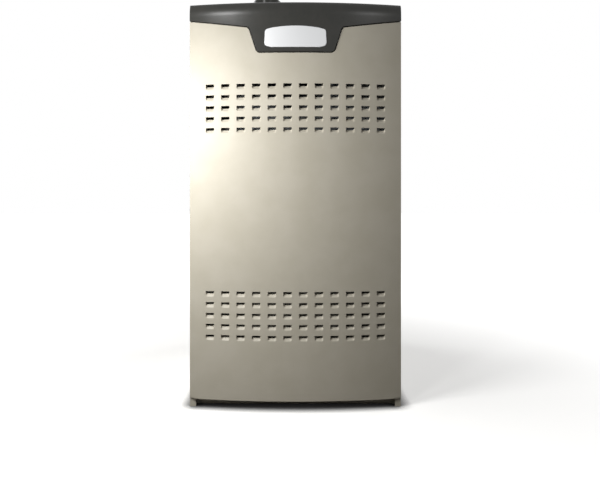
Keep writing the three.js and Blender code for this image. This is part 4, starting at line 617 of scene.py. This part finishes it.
def front_facing(bm):
    """Normals that agree, and look out of the door at its foremost face."""
    bmesh.ops.recalc_face_normals(bm, faces=bm.faces)
    front = min(bm.faces, key=lambda face: face.calc_center_median().y)
    if front.normal.y > 0:
        bmesh.ops.reverse_faces(bm, faces=bm.faces)


def walled(piece, thickness):
    """Sheet metal or a moulded wall grown inwards from the outer skin."""
    modifier = piece.modifiers.new("wall", "SOLIDIFY")
    modifier.thickness = thickness
    modifier.offset = -1
    return applied(piece)


def door_lines():
    """The lines across and up that the door's sheet is cut at."""
    field = steps_between(-FIELD_HALF, FIELD_HALF, COLUMNS * 4)
    left = steps_between(-HALF_WIDTH, -FIELD_HALF, 3)
    return left, field, [-x for x in reversed(left)]


def group_rows(top):
    """The edges of a louvre group's rows, with one more line in the middle of each."""
    return steps_between(top + ROW_MARGIN - ROWS * ROW_PITCH, top + ROW_MARGIN, ROWS * 2)


def door():
    left, field, right = door_lines()
    across = left + field[1:-1] + right
    lower, upper = group_rows(LOWER_GROUP_TOP), group_rows(UPPER_GROUP_TOP)
    bm = bmesh.new()
    sheet_rows(bm, across, [DOOR_BOTTOM, DOOR_BOTTOM + 2 * HEM_FOLD, lower[0]])
    for rows in (lower, upper):
        sheet_rows(bm, left, rows)
        sheet_rows(bm, right, rows)
    sheet_rows(bm, across, [lower[-1], upper[0]])
    notch = cap_outline(REVEAL)
    top = [Vector((-HALF_WIDTH, upper[-1])), Vector((HALF_WIDTH, upper[-1]))] + list(reversed(notch))
    outline_sheet(bm, top, across[1:-1])
    mesh = bpy.data.meshes.new("door_skin")
    bm.to_mesh(mesh)
    bm.free()
    piece = object_of("door_skin", mesh)
    pressed = louvre()
    middle = ROW_PITCH * ROWS / 2 - ROW_MARGIN
    shaped_by(piece, bowed_with_louvres(), Louvre=pressed, Columns=COLUMNS, Rows=ROWS,
              Column_Pitch=COLUMN_PITCH, Row_Pitch=ROW_PITCH,
              Lower_Middle=(0, 0, LOWER_GROUP_TOP - middle), Upper_Middle=(0, 0, UPPER_GROUP_TOP - middle),
              Bow_Radius=BOW_RADIUS, Front=DOOR_FRONT, Paint=MATERIALS["champagne_paint"])
    bpy.data.objects.remove(pressed)

    bm = bmesh.new()
    bm.from_mesh(piece.data)
    bmesh.ops.remove_doubles(bm, verts=bm.verts, dist=0.01 * MM)
    front_facing(bm)

    def in_field(edge):
        middle = (edge.verts[0].co + edge.verts[1].co) / 2
        return abs(middle.x) < FIELD_HALF - 1 * MM and any(
            rows[0] < middle.z < rows[-1] for rows in (lower, upper))

    rim = [edge for edge in bm.edges if edge.is_boundary and not in_field(edge)]
    hem = [edge for edge in rim if max(v.co.z for v in edge.verts) < DOOR_BOTTOM + 1 * MM]
    fold_back(bm, rim, DOOR_HIGH.y)
    round_off(bm, hem, HEM_FOLD)
    sides = [edge for edge in bm.edges if not edge.is_boundary and edge.is_manifold
             and edge.calc_face_angle(0) > math.radians(60)
             and not in_field(edge) and edge.verts[0].co.y < DOOR_HIGH.y - 5 * MM
             and edge.verts[1].co.y < DOOR_HIGH.y - 5 * MM]
    round_off(bm, sides, SIDE_FOLD)
    front_facing(bm)
    bm.to_mesh(piece.data)
    bm.free()
    walled(piece, SHEET)
    shaded(piece.data, 40)
    weighted(piece)
    return finished(piece, "front_door", "champagne_paint", "front_door")


# ---------------------------------------------------------------- the cap and its plate
def cap():
    """The moulded cap: a bowed front with a centre tab, a round top edge and a flat top."""
    left, field, right = door_lines()
    across = left + field[1:-1] + right
    spring = CABINET_TOP - CAP_CROWN_HEIGHT
    lower = cap_outline(0)
    bm = bmesh.new()
    outline_sheet(bm, lower + [Vector((HALF_WIDTH, spring)), Vector((-HALF_WIDTH, spring))], across[1:-1])
    grid = []
    for k in range(CAP_CROWN_STEPS + 1):
        angle = k / CAP_CROWN_STEPS * math.pi / 2
        back, height = CAP_CROWN_DEPTH * (1 - math.cos(angle)), CAP_CROWN_HEIGHT * math.sin(angle)
        grid.append([bm.verts.new((x, back, spring + height)) for x in across])
    for low, high in zip(grid, grid[1:]):
        for i in range(len(across) - 1):
            bm.faces.new((low[i], low[i + 1], high[i + 1], high[i]))
    for vertex in bm.verts:
        vertex.co.y += bowed(vertex.co.x, CAP_FRONT)
    back_line = [bm.verts.new((x, CAP_BACK, CABINET_TOP)) for x in across]
    for i in range(len(across) - 1):
        bm.faces.new((grid[-1][i], grid[-1][i + 1], back_line[i + 1], back_line[i]))
    bmesh.ops.remove_doubles(bm, verts=bm.verts, dist=0.01 * MM)

    wall_back = ACCESS_HIGH.y
    lower_rim = [edge for edge in bm.edges if edge.is_boundary
                 and max(v.co.z for v in edge.verts) < spring - 1 * MM
                 and abs(edge.verts[0].co.x - edge.verts[1].co.x) > 0.001 * MM]
    fold_back(bm, lower_rim, wall_back)
    bm.verts.ensure_lookup_table()
    for sign in (-1, 1):
        profile = sorted((v for v in bm.verts if abs(v.co.x - sign * HALF_WIDTH) < 0.01 * MM
                          and v.co.y < wall_back - 1 * MM), key=lambda v: (v.co.z, v.co.y))
        top_back = next(v for v in bm.verts if abs(v.co.x - sign * HALF_WIDTH) < 0.01 * MM
                        and abs(v.co.y - CAP_BACK) < 0.01 * MM)
        low_back = next(v for v in bm.verts if abs(v.co.x - sign * HALF_WIDTH) < 0.01 * MM
                        and abs(v.co.y - wall_back) < 0.01 * MM)
        bm.faces.new(profile + [top_back, low_back])
    front_facing(bm)
    edges = [edge for edge in bm.edges if edge.is_manifold and edge.calc_face_angle(0) > math.radians(50)]
    round_off(bm, edges, CAP_EDGE, 3)
    front_facing(bm)
    mesh = bpy.data.meshes.new("cap_shell")
    bm.to_mesh(mesh)
    bm.free()
    piece = object_of("cap_shell", mesh)
    walled(piece, CAP_WALL)

    seat = bow_slab("badge_seat", badge_outline(BADGE_CLEARANCE), CAP_FRONT - CAP_WALL,
                    CAP_FRONT + BADGE_RECESS, 0)
    modifier = piece.modifiers.new("seat for the plate", "BOOLEAN")
    modifier.operation = "DIFFERENCE"
    modifier.solver = "EXACT"
    modifier.object = seat
    applied(piece)
    bpy.data.objects.remove(seat)
    shaded(piece.data, 40)
    weighted(piece)
    return finished(piece, "cabinet", "charcoal_plastic", "top_cap")


def badge_outline(growth):
    """The plate's outline: an arched top, rounded ends and a level bottom."""
    top, bottom = BADGE_HIGH.z + growth, BADGE_LOW.z - growth
    half = BADGE_HALF + growth
    reach = half - BADGE_SHOULDER
    shares = [1 - k / BADGE_ARCH_STEPS for k in range(2 * BADGE_ARCH_STEPS + 1)]
    arch = [(reach * share, top - BADGE_ARCH + BADGE_ARCH * (1 - share ** 2)) for share in shares]
    corners = [(-half, bottom + 4 * MM), (-reach, bottom), (reach, bottom), (half, bottom + 4 * MM),
               (half - 2 * MM, top - 9 * MM), *arch, (-half + 2 * MM, top - 9 * MM)]
    radii = [10 * MM, 0, 0, 10 * MM, 8 * MM, *[0] * len(arch), 8 * MM]
    return rounded(corners, radii, 6)


def bow_slab(name, outline, front, back, edge):
    """A plate of this outline that follows the bow, its front edge rounded off."""
    bm = bmesh.new()
    outline_sheet(bm, outline, steps_between(-FIELD_HALF, FIELD_HALF, COLUMNS * 4))
    bmesh.ops.recalc_face_normals(bm, faces=bm.faces)
    for face in bm.faces:
        if face.normal.y > 0:
            face.normal_flip()
    faces = list(bm.faces)
    outer = [e for e in bm.edges if e.is_boundary]
    result = bmesh.ops.extrude_face_region(bm, geom=faces)
    moved = {item for item in result["geom"] if isinstance(item, bmesh.types.BMVert)}
    for vertex in bm.verts:
        vertex.co.y = bowed(vertex.co.x, front if vertex in moved else back)
    bmesh.ops.recalc_face_normals(bm, faces=bm.faces)
    if edge:
        front_edges = [e for e in bm.edges if all(v in moved for v in e.verts)
                       and e.is_manifold and e.calc_face_angle(0) > math.radians(50)]
        round_off(bm, front_edges, edge, 3)
    mesh = bpy.data.meshes.new(name)
    bm.to_mesh(mesh)
    bm.free()
    return object_of(name, mesh)


def badge():
    proud = CAP_FRONT - BADGE_LOW.y
    piece = bow_slab("badge_plate_bare", badge_outline(0), CAP_FRONT - proud,
                     CAP_FRONT + BADGE_RECESS - 0.2 * MM, BADGE_EDGE)
    shaded(piece.data, 40)
    weighted(piece)
    return finished(piece, "cabinet", "silver_plate", "badge_plate")


# ---------------------------------------------------------------- vent
def turned(name, profile, x, y, sides=96):
    """A turned part round an upright axis; the profile is a closed loop of radius and height."""
    bm = bmesh.new()
    rings = []
    for k in range(sides):
        angle = 2 * math.pi * k / sides
        rings.append([bm.verts.new((x + r * math.cos(angle), y + r * math.sin(angle), h))
                      for r, h in profile])
    for a, b in zip(rings, rings[1:] + rings[:1]):
        for i in range(len(profile)):
            j = (i + 1) % len(profile)
            bm.faces.new((a[i], b[i], b[j], a[j]))
    bmesh.ops.recalc_face_normals(bm, faces=bm.faces)
    mesh = bpy.data.meshes.new(name)
    bm.to_mesh(mesh)
    bm.free()
    return object_of(name, mesh)


def profile_of(corners, radii, steps=5):
    return [(p.x, p.y) for p in rounded(corners, [r * MM for r in radii], steps)]


def vent():
    """The pipe that carries the flue gas out, and the moulded collar round it."""
    x, y = (PIPE_LOW.x + PIPE_HIGH.x) / 2, (PIPE_LOW.y + PIPE_HIGH.y) / 2
    radius = (PIPE_HIGH.x - PIPE_LOW.x) / 2
    inner, low, high = radius - PIPE_WALL, PIPE_LOW.z, PIPE_HIGH.z
    pipe = turned("vent_tube", profile_of(
        [(inner, low), (radius, low), (radius, high), (inner, high)],
        [0.3, 0.3, 0.6, 0.6], 3), x, y)
    shaded(pipe.data)
    finished(pipe, "cabinet", "galvanised", "vent_pipe")
    flange, top = COLLAR_HIGH.x - (COLLAR_LOW.x + COLLAR_HIGH.x) / 2, COLLAR_HIGH.z
    bore = radius + COLLAR_GAP
    base = COLLAR_LOW.z
    collar = turned("vent_collar_moulded", profile_of(
        [(bore, base), (flange, base), (flange, base + COLLAR_FLANGE),
         (COLLAR_NECK, base + COLLAR_FLANGE), (COLLAR_NECK, top - COLLAR_SHOULDER),
         (COLLAR_TOP_RADIUS, top), (bore, top)],
        [0, 0.8, 1.5, 2, 3, 3, 1]), x, y)
    shaded(collar.data)
    finished(collar, "cabinet", "charcoal_plastic", "vent_collar")


# ---------------------------------------------------------------- the other pieces
def merged_copy(node):
    """The node's mesh with its corners joined and its flat faces whole."""
    bm = bmesh.new()
    bm.from_mesh(frame["nodes"][node].data)
    bmesh.ops.remove_doubles(bm, verts=bm.verts, dist=0.002 * MM)
    bmesh.ops.dissolve_limit(bm, angle_limit=math.radians(1), verts=bm.verts, edges=bm.edges)
    return bm


def softened(bm, name, width):
    """The mesh as a piece with its outer edges broken and its round faces shaded round."""
    outer = [edge for edge in bm.edges if edge.is_manifold
             and edge.calc_face_angle_signed(0) > math.radians(41)]
    round_off(bm, outer, width, 2)
    mesh = bpy.data.meshes.new(name)
    bm.to_mesh(mesh)
    bm.free()
    piece = object_of(name, mesh)
    shaded(mesh, 38)
    return weighted(piece)


def half_of(bm, depth, front):
    """What lies ahead of a plane across the part, or what lies behind it, closed at the plane."""
    geometry = list(bm.verts) + list(bm.edges) + list(bm.faces)
    bmesh.ops.bisect_plane(bm, geom=geometry, dist=1e-7, plane_co=(0, depth, 0), plane_no=(0, 1, 0),
                           clear_outer=front, clear_inner=not front)
    bmesh.ops.holes_fill(bm, edges=[edge for edge in bm.edges if edge.is_boundary], sides=0)
    return bm


def base():
    """The base pan in bare zinc, and its painted feet and lip that stand ahead of the cabinet."""
    seam = WRAPPER_LOW.y + FEET_DEPTH
    pan = softened(half_of(merged_copy("base_pan"), seam, False), "base_pan_finished", 0.35 * MM)
    finished(pan, "cabinet", "galvanised", "base_pan")
    feet = softened(half_of(merged_copy("base_pan"), seam, True), "base_feet_painted", 0.4 * MM)
    finished(feet, "cabinet", "champagne_paint", "base_pan")


# ---------------------------------------------------------------- screws and knock-outs
def lathed(bm, profile, sides):
    """A closed solid round Z, from its foot's rim up to the middle of its top."""
    turns = [2 * math.pi * k / sides for k in range(sides)]
    rings = [[bm.verts.new((r * math.cos(turn), r * math.sin(turn), h)) for turn in turns]
             for r, h in profile]
    for low, high in zip(rings, rings[1:]):
        for k in range(sides):
            j = (k + 1) % sides
            bm.faces.new((low[k], low[j], high[j], high[k]))
    bm.faces.new(rings[-1])
    bm.faces.new(list(reversed(rings[0])))


def small_part(name, *solids):
    """A small part lathed from solids of (profile in millimetres, sides), standing on z 0."""
    bm = bmesh.new()
    for profile, sides in solids:
        lathed(bm, [(r * MM, h * MM) for r, h in profile], sides)
    mesh = bpy.data.meshes.new(name)
    bm.to_mesh(mesh)
    bm.free()
    shaded(mesh, 35)
    return object_of(name, mesh)


def set_on_points():
    """The node tree that stands a small part on every point, along its facing, turned by chance."""
    tree = bpy.data.node_groups.new("small parts on points", "GeometryNodeTree")
    tree.is_modifier = True
    for name, kind in (("Geometry", "NodeSocketGeometry"), ("Part", "NodeSocketObject"),
                       ("Turn", "NodeSocketFloat"), ("Seed", "NodeSocketInt"),
                       ("Finish", "NodeSocketMaterial")):
        tree.interface.new_socket(name, in_out="INPUT", socket_type=kind)
    tree.interface.new_socket("Geometry", in_out="OUTPUT", socket_type="NodeSocketGeometry")
    given = add(tree, "NodeGroupInput").outputs
    facing = add(tree, "GeometryNodeInputNamedAttribute", {"data_type": "FLOAT_VECTOR"}, {"Name": "facing"})
    upright = add(tree, "FunctionNodeAlignRotationToVector", {"axis": "Z"}, {
        "Vector": facing.outputs["Attribute"]})
    chance = add(tree, "FunctionNodeRandomValue", {"data_type": "FLOAT"})
    floats = [socket for socket in chance.inputs if socket.type == "VALUE"]
    floats[0].default_value = 0.0
    tree.links.new(given["Turn"], floats[1])
    tree.links.new(given["Seed"], chance.inputs["Seed"])
    angle = next(socket for socket in chance.outputs if socket.type == "VALUE")
    twist = add(tree, "FunctionNodeAxisAngleToRotation", None, {"Axis": (0, 0, 1), "Angle": angle})
    turned_by = add(tree, "FunctionNodeRotateRotation", {"rotation_space": "LOCAL"}, {
        "Rotation": upright.outputs["Rotation"], "Rotate By": twist.outputs["Rotation"]})
    part = add(tree, "GeometryNodeObjectInfo", None, {"Object": given["Part"]})
    placed = add(tree, "GeometryNodeInstanceOnPoints", None, {
        "Points": given["Geometry"], "Instance": part.outputs["Geometry"],
        "Rotation": turned_by.outputs["Rotation"]})
    real = add(tree, "GeometryNodeRealizeInstances", None, {"Geometry": placed.outputs["Instances"]})
    dressed = add(tree, "GeometryNodeSetMaterial", None, {
        "Geometry": real.outputs["Geometry"], "Material": given["Finish"]})
    result = add(tree, "NodeGroupOutput")
    tree.links.new(dressed.outputs["Geometry"], result.inputs["Geometry"])
    return tree


def on_surface(node, point, facing):
    """Where a line against the facing first meets the node."""
    mesh = frame["nodes"][node].data
    shape = BVHTree.FromPolygons([v.co for v in mesh.vertices], [p.vertices for p in mesh.polygons])
    hit = shape.ray_cast(Vector(point) + Vector(facing) * 0.05, -Vector(facing), 0.2)[0]
    if hit is None:
        raise ValueError(f"nothing of {node} under {point}")
    return hit


def set_of(name, part, tree, places, slot, turn):
    """One piece made of a small part at each of (node, point, facing)."""
    mesh = bpy.data.meshes.new(name)
    mesh.from_pydata([on_surface(*place) for place in places], [], [])
    facings = mesh.attributes.new("facing", "FLOAT_VECTOR", "POINT")
    for row, place in zip(facings.data, places):
        row.vector = place[2]
    piece = object_of(name, mesh)
    shaped_by(piece, tree, Part=part, Turn=turn, Seed=3, Finish=MATERIALS[slot])
    bpy.data.objects.remove(part)
    return finished(piece, "cabinet", slot)


def in_corners(node, inset):
    """A place for a screw in each corner of the node's upright front."""
    low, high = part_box(node)
    return [(node, (x, low.y, z), (0, -1, 0))
            for x in (low.x + inset, high.x - inset) for z in (low.z + inset, high.z - inset)]


def small_parts():
    """Hexagon washer-head screws that hold the sheets, and the stamped knock-outs in the sides."""
    tree = set_on_points()
    front, back = WRAPPER_LOW.y + SCREW_FRONT_INSET, WRAPPER_HIGH.y - SCREW_BACK_INSET
    places = []
    for side in (-1, 1):
        for y in (front, back):
            for z in SCREW_ROWS:
                places.append(("cabinet_wrapper", (side * HALF_WIDTH, y, z), (side, 0, 0)))
        for z in SCREW_ROWS:
            places.append(("cabinet_wrapper", (side * BACK_SCREW_X, WRAPPER_HIGH.y, z), (0, 1, 0)))
        for y in TOP_SCREW_DEPTHS:
            places.append(("top_panel", (side * TOP_SCREW_X, y, PANEL_HIGH.z), (0, 0, 1)))
    places += in_corners("blower_access_panel", ACCESS_SCREW_INSET)
    places += in_corners("vestibule_panel", VESTIBULE_SCREW_INSET)
    screw = small_part("hexagon_screw",
                       ([(5.6, 0), (5.6, 0.7), (5.0, 1.1), (4.0, 1.15)], 20),
                       ([(3.65, 1.0), (3.65, 4.0), (3.2, 4.5)], 6))
    set_of("sheet_screws", screw, tree, places, "galvanised", 1.05)
    outs = [("cabinet_wrapper", (side * HALF_WIDTH, y, z), (side, 0, 0))
            for side in (-1, 1) for y, z in KNOCK_OUT_PLACES]
    knock_out = small_part("knock_out", ([(11.8, 0), (11.8, 0.25), (11.4, 0.3), (11.2, 0.1), (10.9, 0.1),
                                          (10.7, 0.45), (10.3, 0.6)], 40))
    set_of("knock_outs", knock_out, tree, outs, "champagne_paint", 0)


BODY_OF = {node: body for body, nodes in frame["record"]["behaviour"]["bodies"].items() for node in nodes}
SLOT_OF = {row["node"]: row["material_slot"] for row in frame["record"]["subparts"]}
EDGE_OF = {"champagne_paint": 0.5, "galvanised": 0.35, "aluminised_steel": 0.35, "black_plastic": 0.5,
           "cast_aluminium": 0.8, "motor_black": 0.8, "foil_blanket": 1.5}
MADE_APART = {"front_door", "top_cap", "badge_plate", "vent_pipe", "vent_collar", "base_pan"}


# ---------------------------------------------------------------- room, lights and camera
def seen_straight(tree):
    """1 for rays from the eye, a sharp or blurred reflection or clear glass, 0 for diffuse light."""
    seen = add(tree, "ShaderNodeLightPath").outputs
    either = add(tree, "ShaderNodeMath", {"operation": "MAXIMUM"}, {
        0: seen["Is Camera Ray"], 1: seen["Is Glossy Ray"]})
    return add(tree, "ShaderNodeMath", {"operation": "MAXIMUM"}, {
        0: either.outputs[0], 1: seen["Is Transmission Ray"]}).outputs[0]


def room():
    """A pale floor that runs out to white, with painted contact shade: its colour and glow darken by
    ambient occlusion where the object stands close to it.
    """
    bm = bmesh.new()
    bmesh.ops.create_grid(bm, x_segments=1, y_segments=1, size=30)
    mesh = bpy.data.meshes.new("floor")
    bm.to_mesh(mesh)
    bm.free()
    floor = object_of("floor", mesh)
    material, tree, shader = surface("pale_floor", FLOOR_COLOUR, 0.0, 0.9)
    distance = add(tree, "ShaderNodeVectorMath", {"operation": "LENGTH"}, {0: place_on(tree)})
    level = add(tree, "ShaderNodeMapRange", None, {
        "Value": distance.outputs["Value"], "From Min": 0.5, "From Max": 1.7, "To Min": 0.5, "To Max": 1.0})
    # Painted contact shade: ambient occlusion, cubed, darkens the floor's colour and glow under and beside
    # the object.
    open_sky = add(tree, "ShaderNodeAmbientOcclusion", None, {"Distance": 0.035})
    painted_contact_shade = add(tree, "ShaderNodeMath", {"operation": "POWER"}, {0: open_sky.outputs["AO"], 1: 3.0})
    dimmed = add(tree, "ShaderNodeVectorMath", {"operation": "SCALE"}, {
        0: colour(FLOOR_COLOUR)[:3], "Scale": painted_contact_shade.outputs[0]})
    tree.links.new(dimmed.outputs["Vector"], shader.inputs["Base Color"])
    strength = add(tree, "ShaderNodeMath", {"operation": "MULTIPLY"}, {
        0: level.outputs["Result"], 1: painted_contact_shade.outputs[0]})
    glow = add(tree, "ShaderNodeEmission", None, {"Color": (1, 1, 1, 1), "Strength": strength.outputs[0]})
    both = add(tree, "ShaderNodeAddShader", None, {0: shader.outputs["BSDF"], 1: glow.outputs["Emission"]})
    dim = add(tree, "ShaderNodeBsdfDiffuse", None, {"Color": colour("#6B6966")})
    mix = add(tree, "ShaderNodeMixShader", None, {
        0: seen_straight(tree), 1: dim.outputs["BSDF"], 2: both.outputs["Shader"]})
    tree.links.new(mix.outputs["Shader"], tree.nodes["Material Output"].inputs["Surface"])
    floor.data.materials.append(material)


def white_room(strength):
    """A world that looks white to the eye and in reflections, and lights the part softly."""
    world = bpy.data.worlds.new("studio")
    bpy.context.scene.world = world
    world.use_nodes = True
    tree = world.node_tree
    level = add(tree, "ShaderNodeMapRange", None, {
        "Value": seen_straight(tree), "To Min": strength, "To Max": 1.0})
    background = tree.nodes["Background"]
    background.inputs["Color"].default_value = (1, 1, 1, 1)
    tree.links.new(level.outputs["Result"], background.inputs["Strength"])


def lamp(name, place, aim, size, power):
    light = bpy.data.lights.new(name, "AREA")
    light.shape = "SQUARE"
    light.size = size
    light.energy = power
    made = bpy.data.objects.new(name, light)
    bpy.context.scene.collection.objects.link(made)
    made.location = place
    made.rotation_euler = (Vector(aim) - Vector(place)).to_track_quat("-Z", "Y").to_euler()
    made.visible_camera = False


def lights():
    lamp("key_from_the_left", (-0.5, -0.75, 0.78), (0, -0.34, 0.35), 0.35, 7.0)
    lamp("softbox_front_left", (-0.67, -1.62, 1.61), (0, -0.34, 0.95), 0.22, 4.8)
    lamp("softbox_front_right", (0.72, -1.62, 1.61), (0, -0.34, 0.95), 0.22, 0.9)
    lamp("fill_behind_left", (-1.6, 1.2, 1.5), (0, 0.2, 0.6), 1.0, 10)
    lamp("fill_behind_right", (1.6, 1.2, 1.5), (0, 0.2, 0.6), 1.0, 10)


def camera():
    """The photograph's view: level, straight in front, with its frame shifted to the furnace."""
    lens = bpy.data.cameras.new("camera")
    lens.lens = 34.1
    lens.sensor_width = 36
    lens.sensor_fit = "HORIZONTAL"
    lens.shift_x = 0.0076
    lens.shift_y = -0.0744
    made = bpy.data.objects.new("camera", lens)
    bpy.context.scene.collection.objects.link(made)
    made.location = (0, -1.7685, 0.51)
    made.rotation_euler = (math.pi / 2, 0, 0)
    bpy.context.scene.camera = made


camera()
lights()
white_room(0.02)
room()
bpy.context.scene.view_settings.view_transform = "Standard"

door()
cap()
badge()
vent()
base()
small_parts()
for node_name, body_name in BODY_OF.items():
    if node_name not in MADE_APART:
        finish_slot = SLOT_OF[node_name]
        copy = softened(merged_copy(node_name), node_name + "_finished",
                        EDGE_OF.get(finish_slot, 0.4) * MM)
        finished(copy, body_name, finish_slot, node_name)
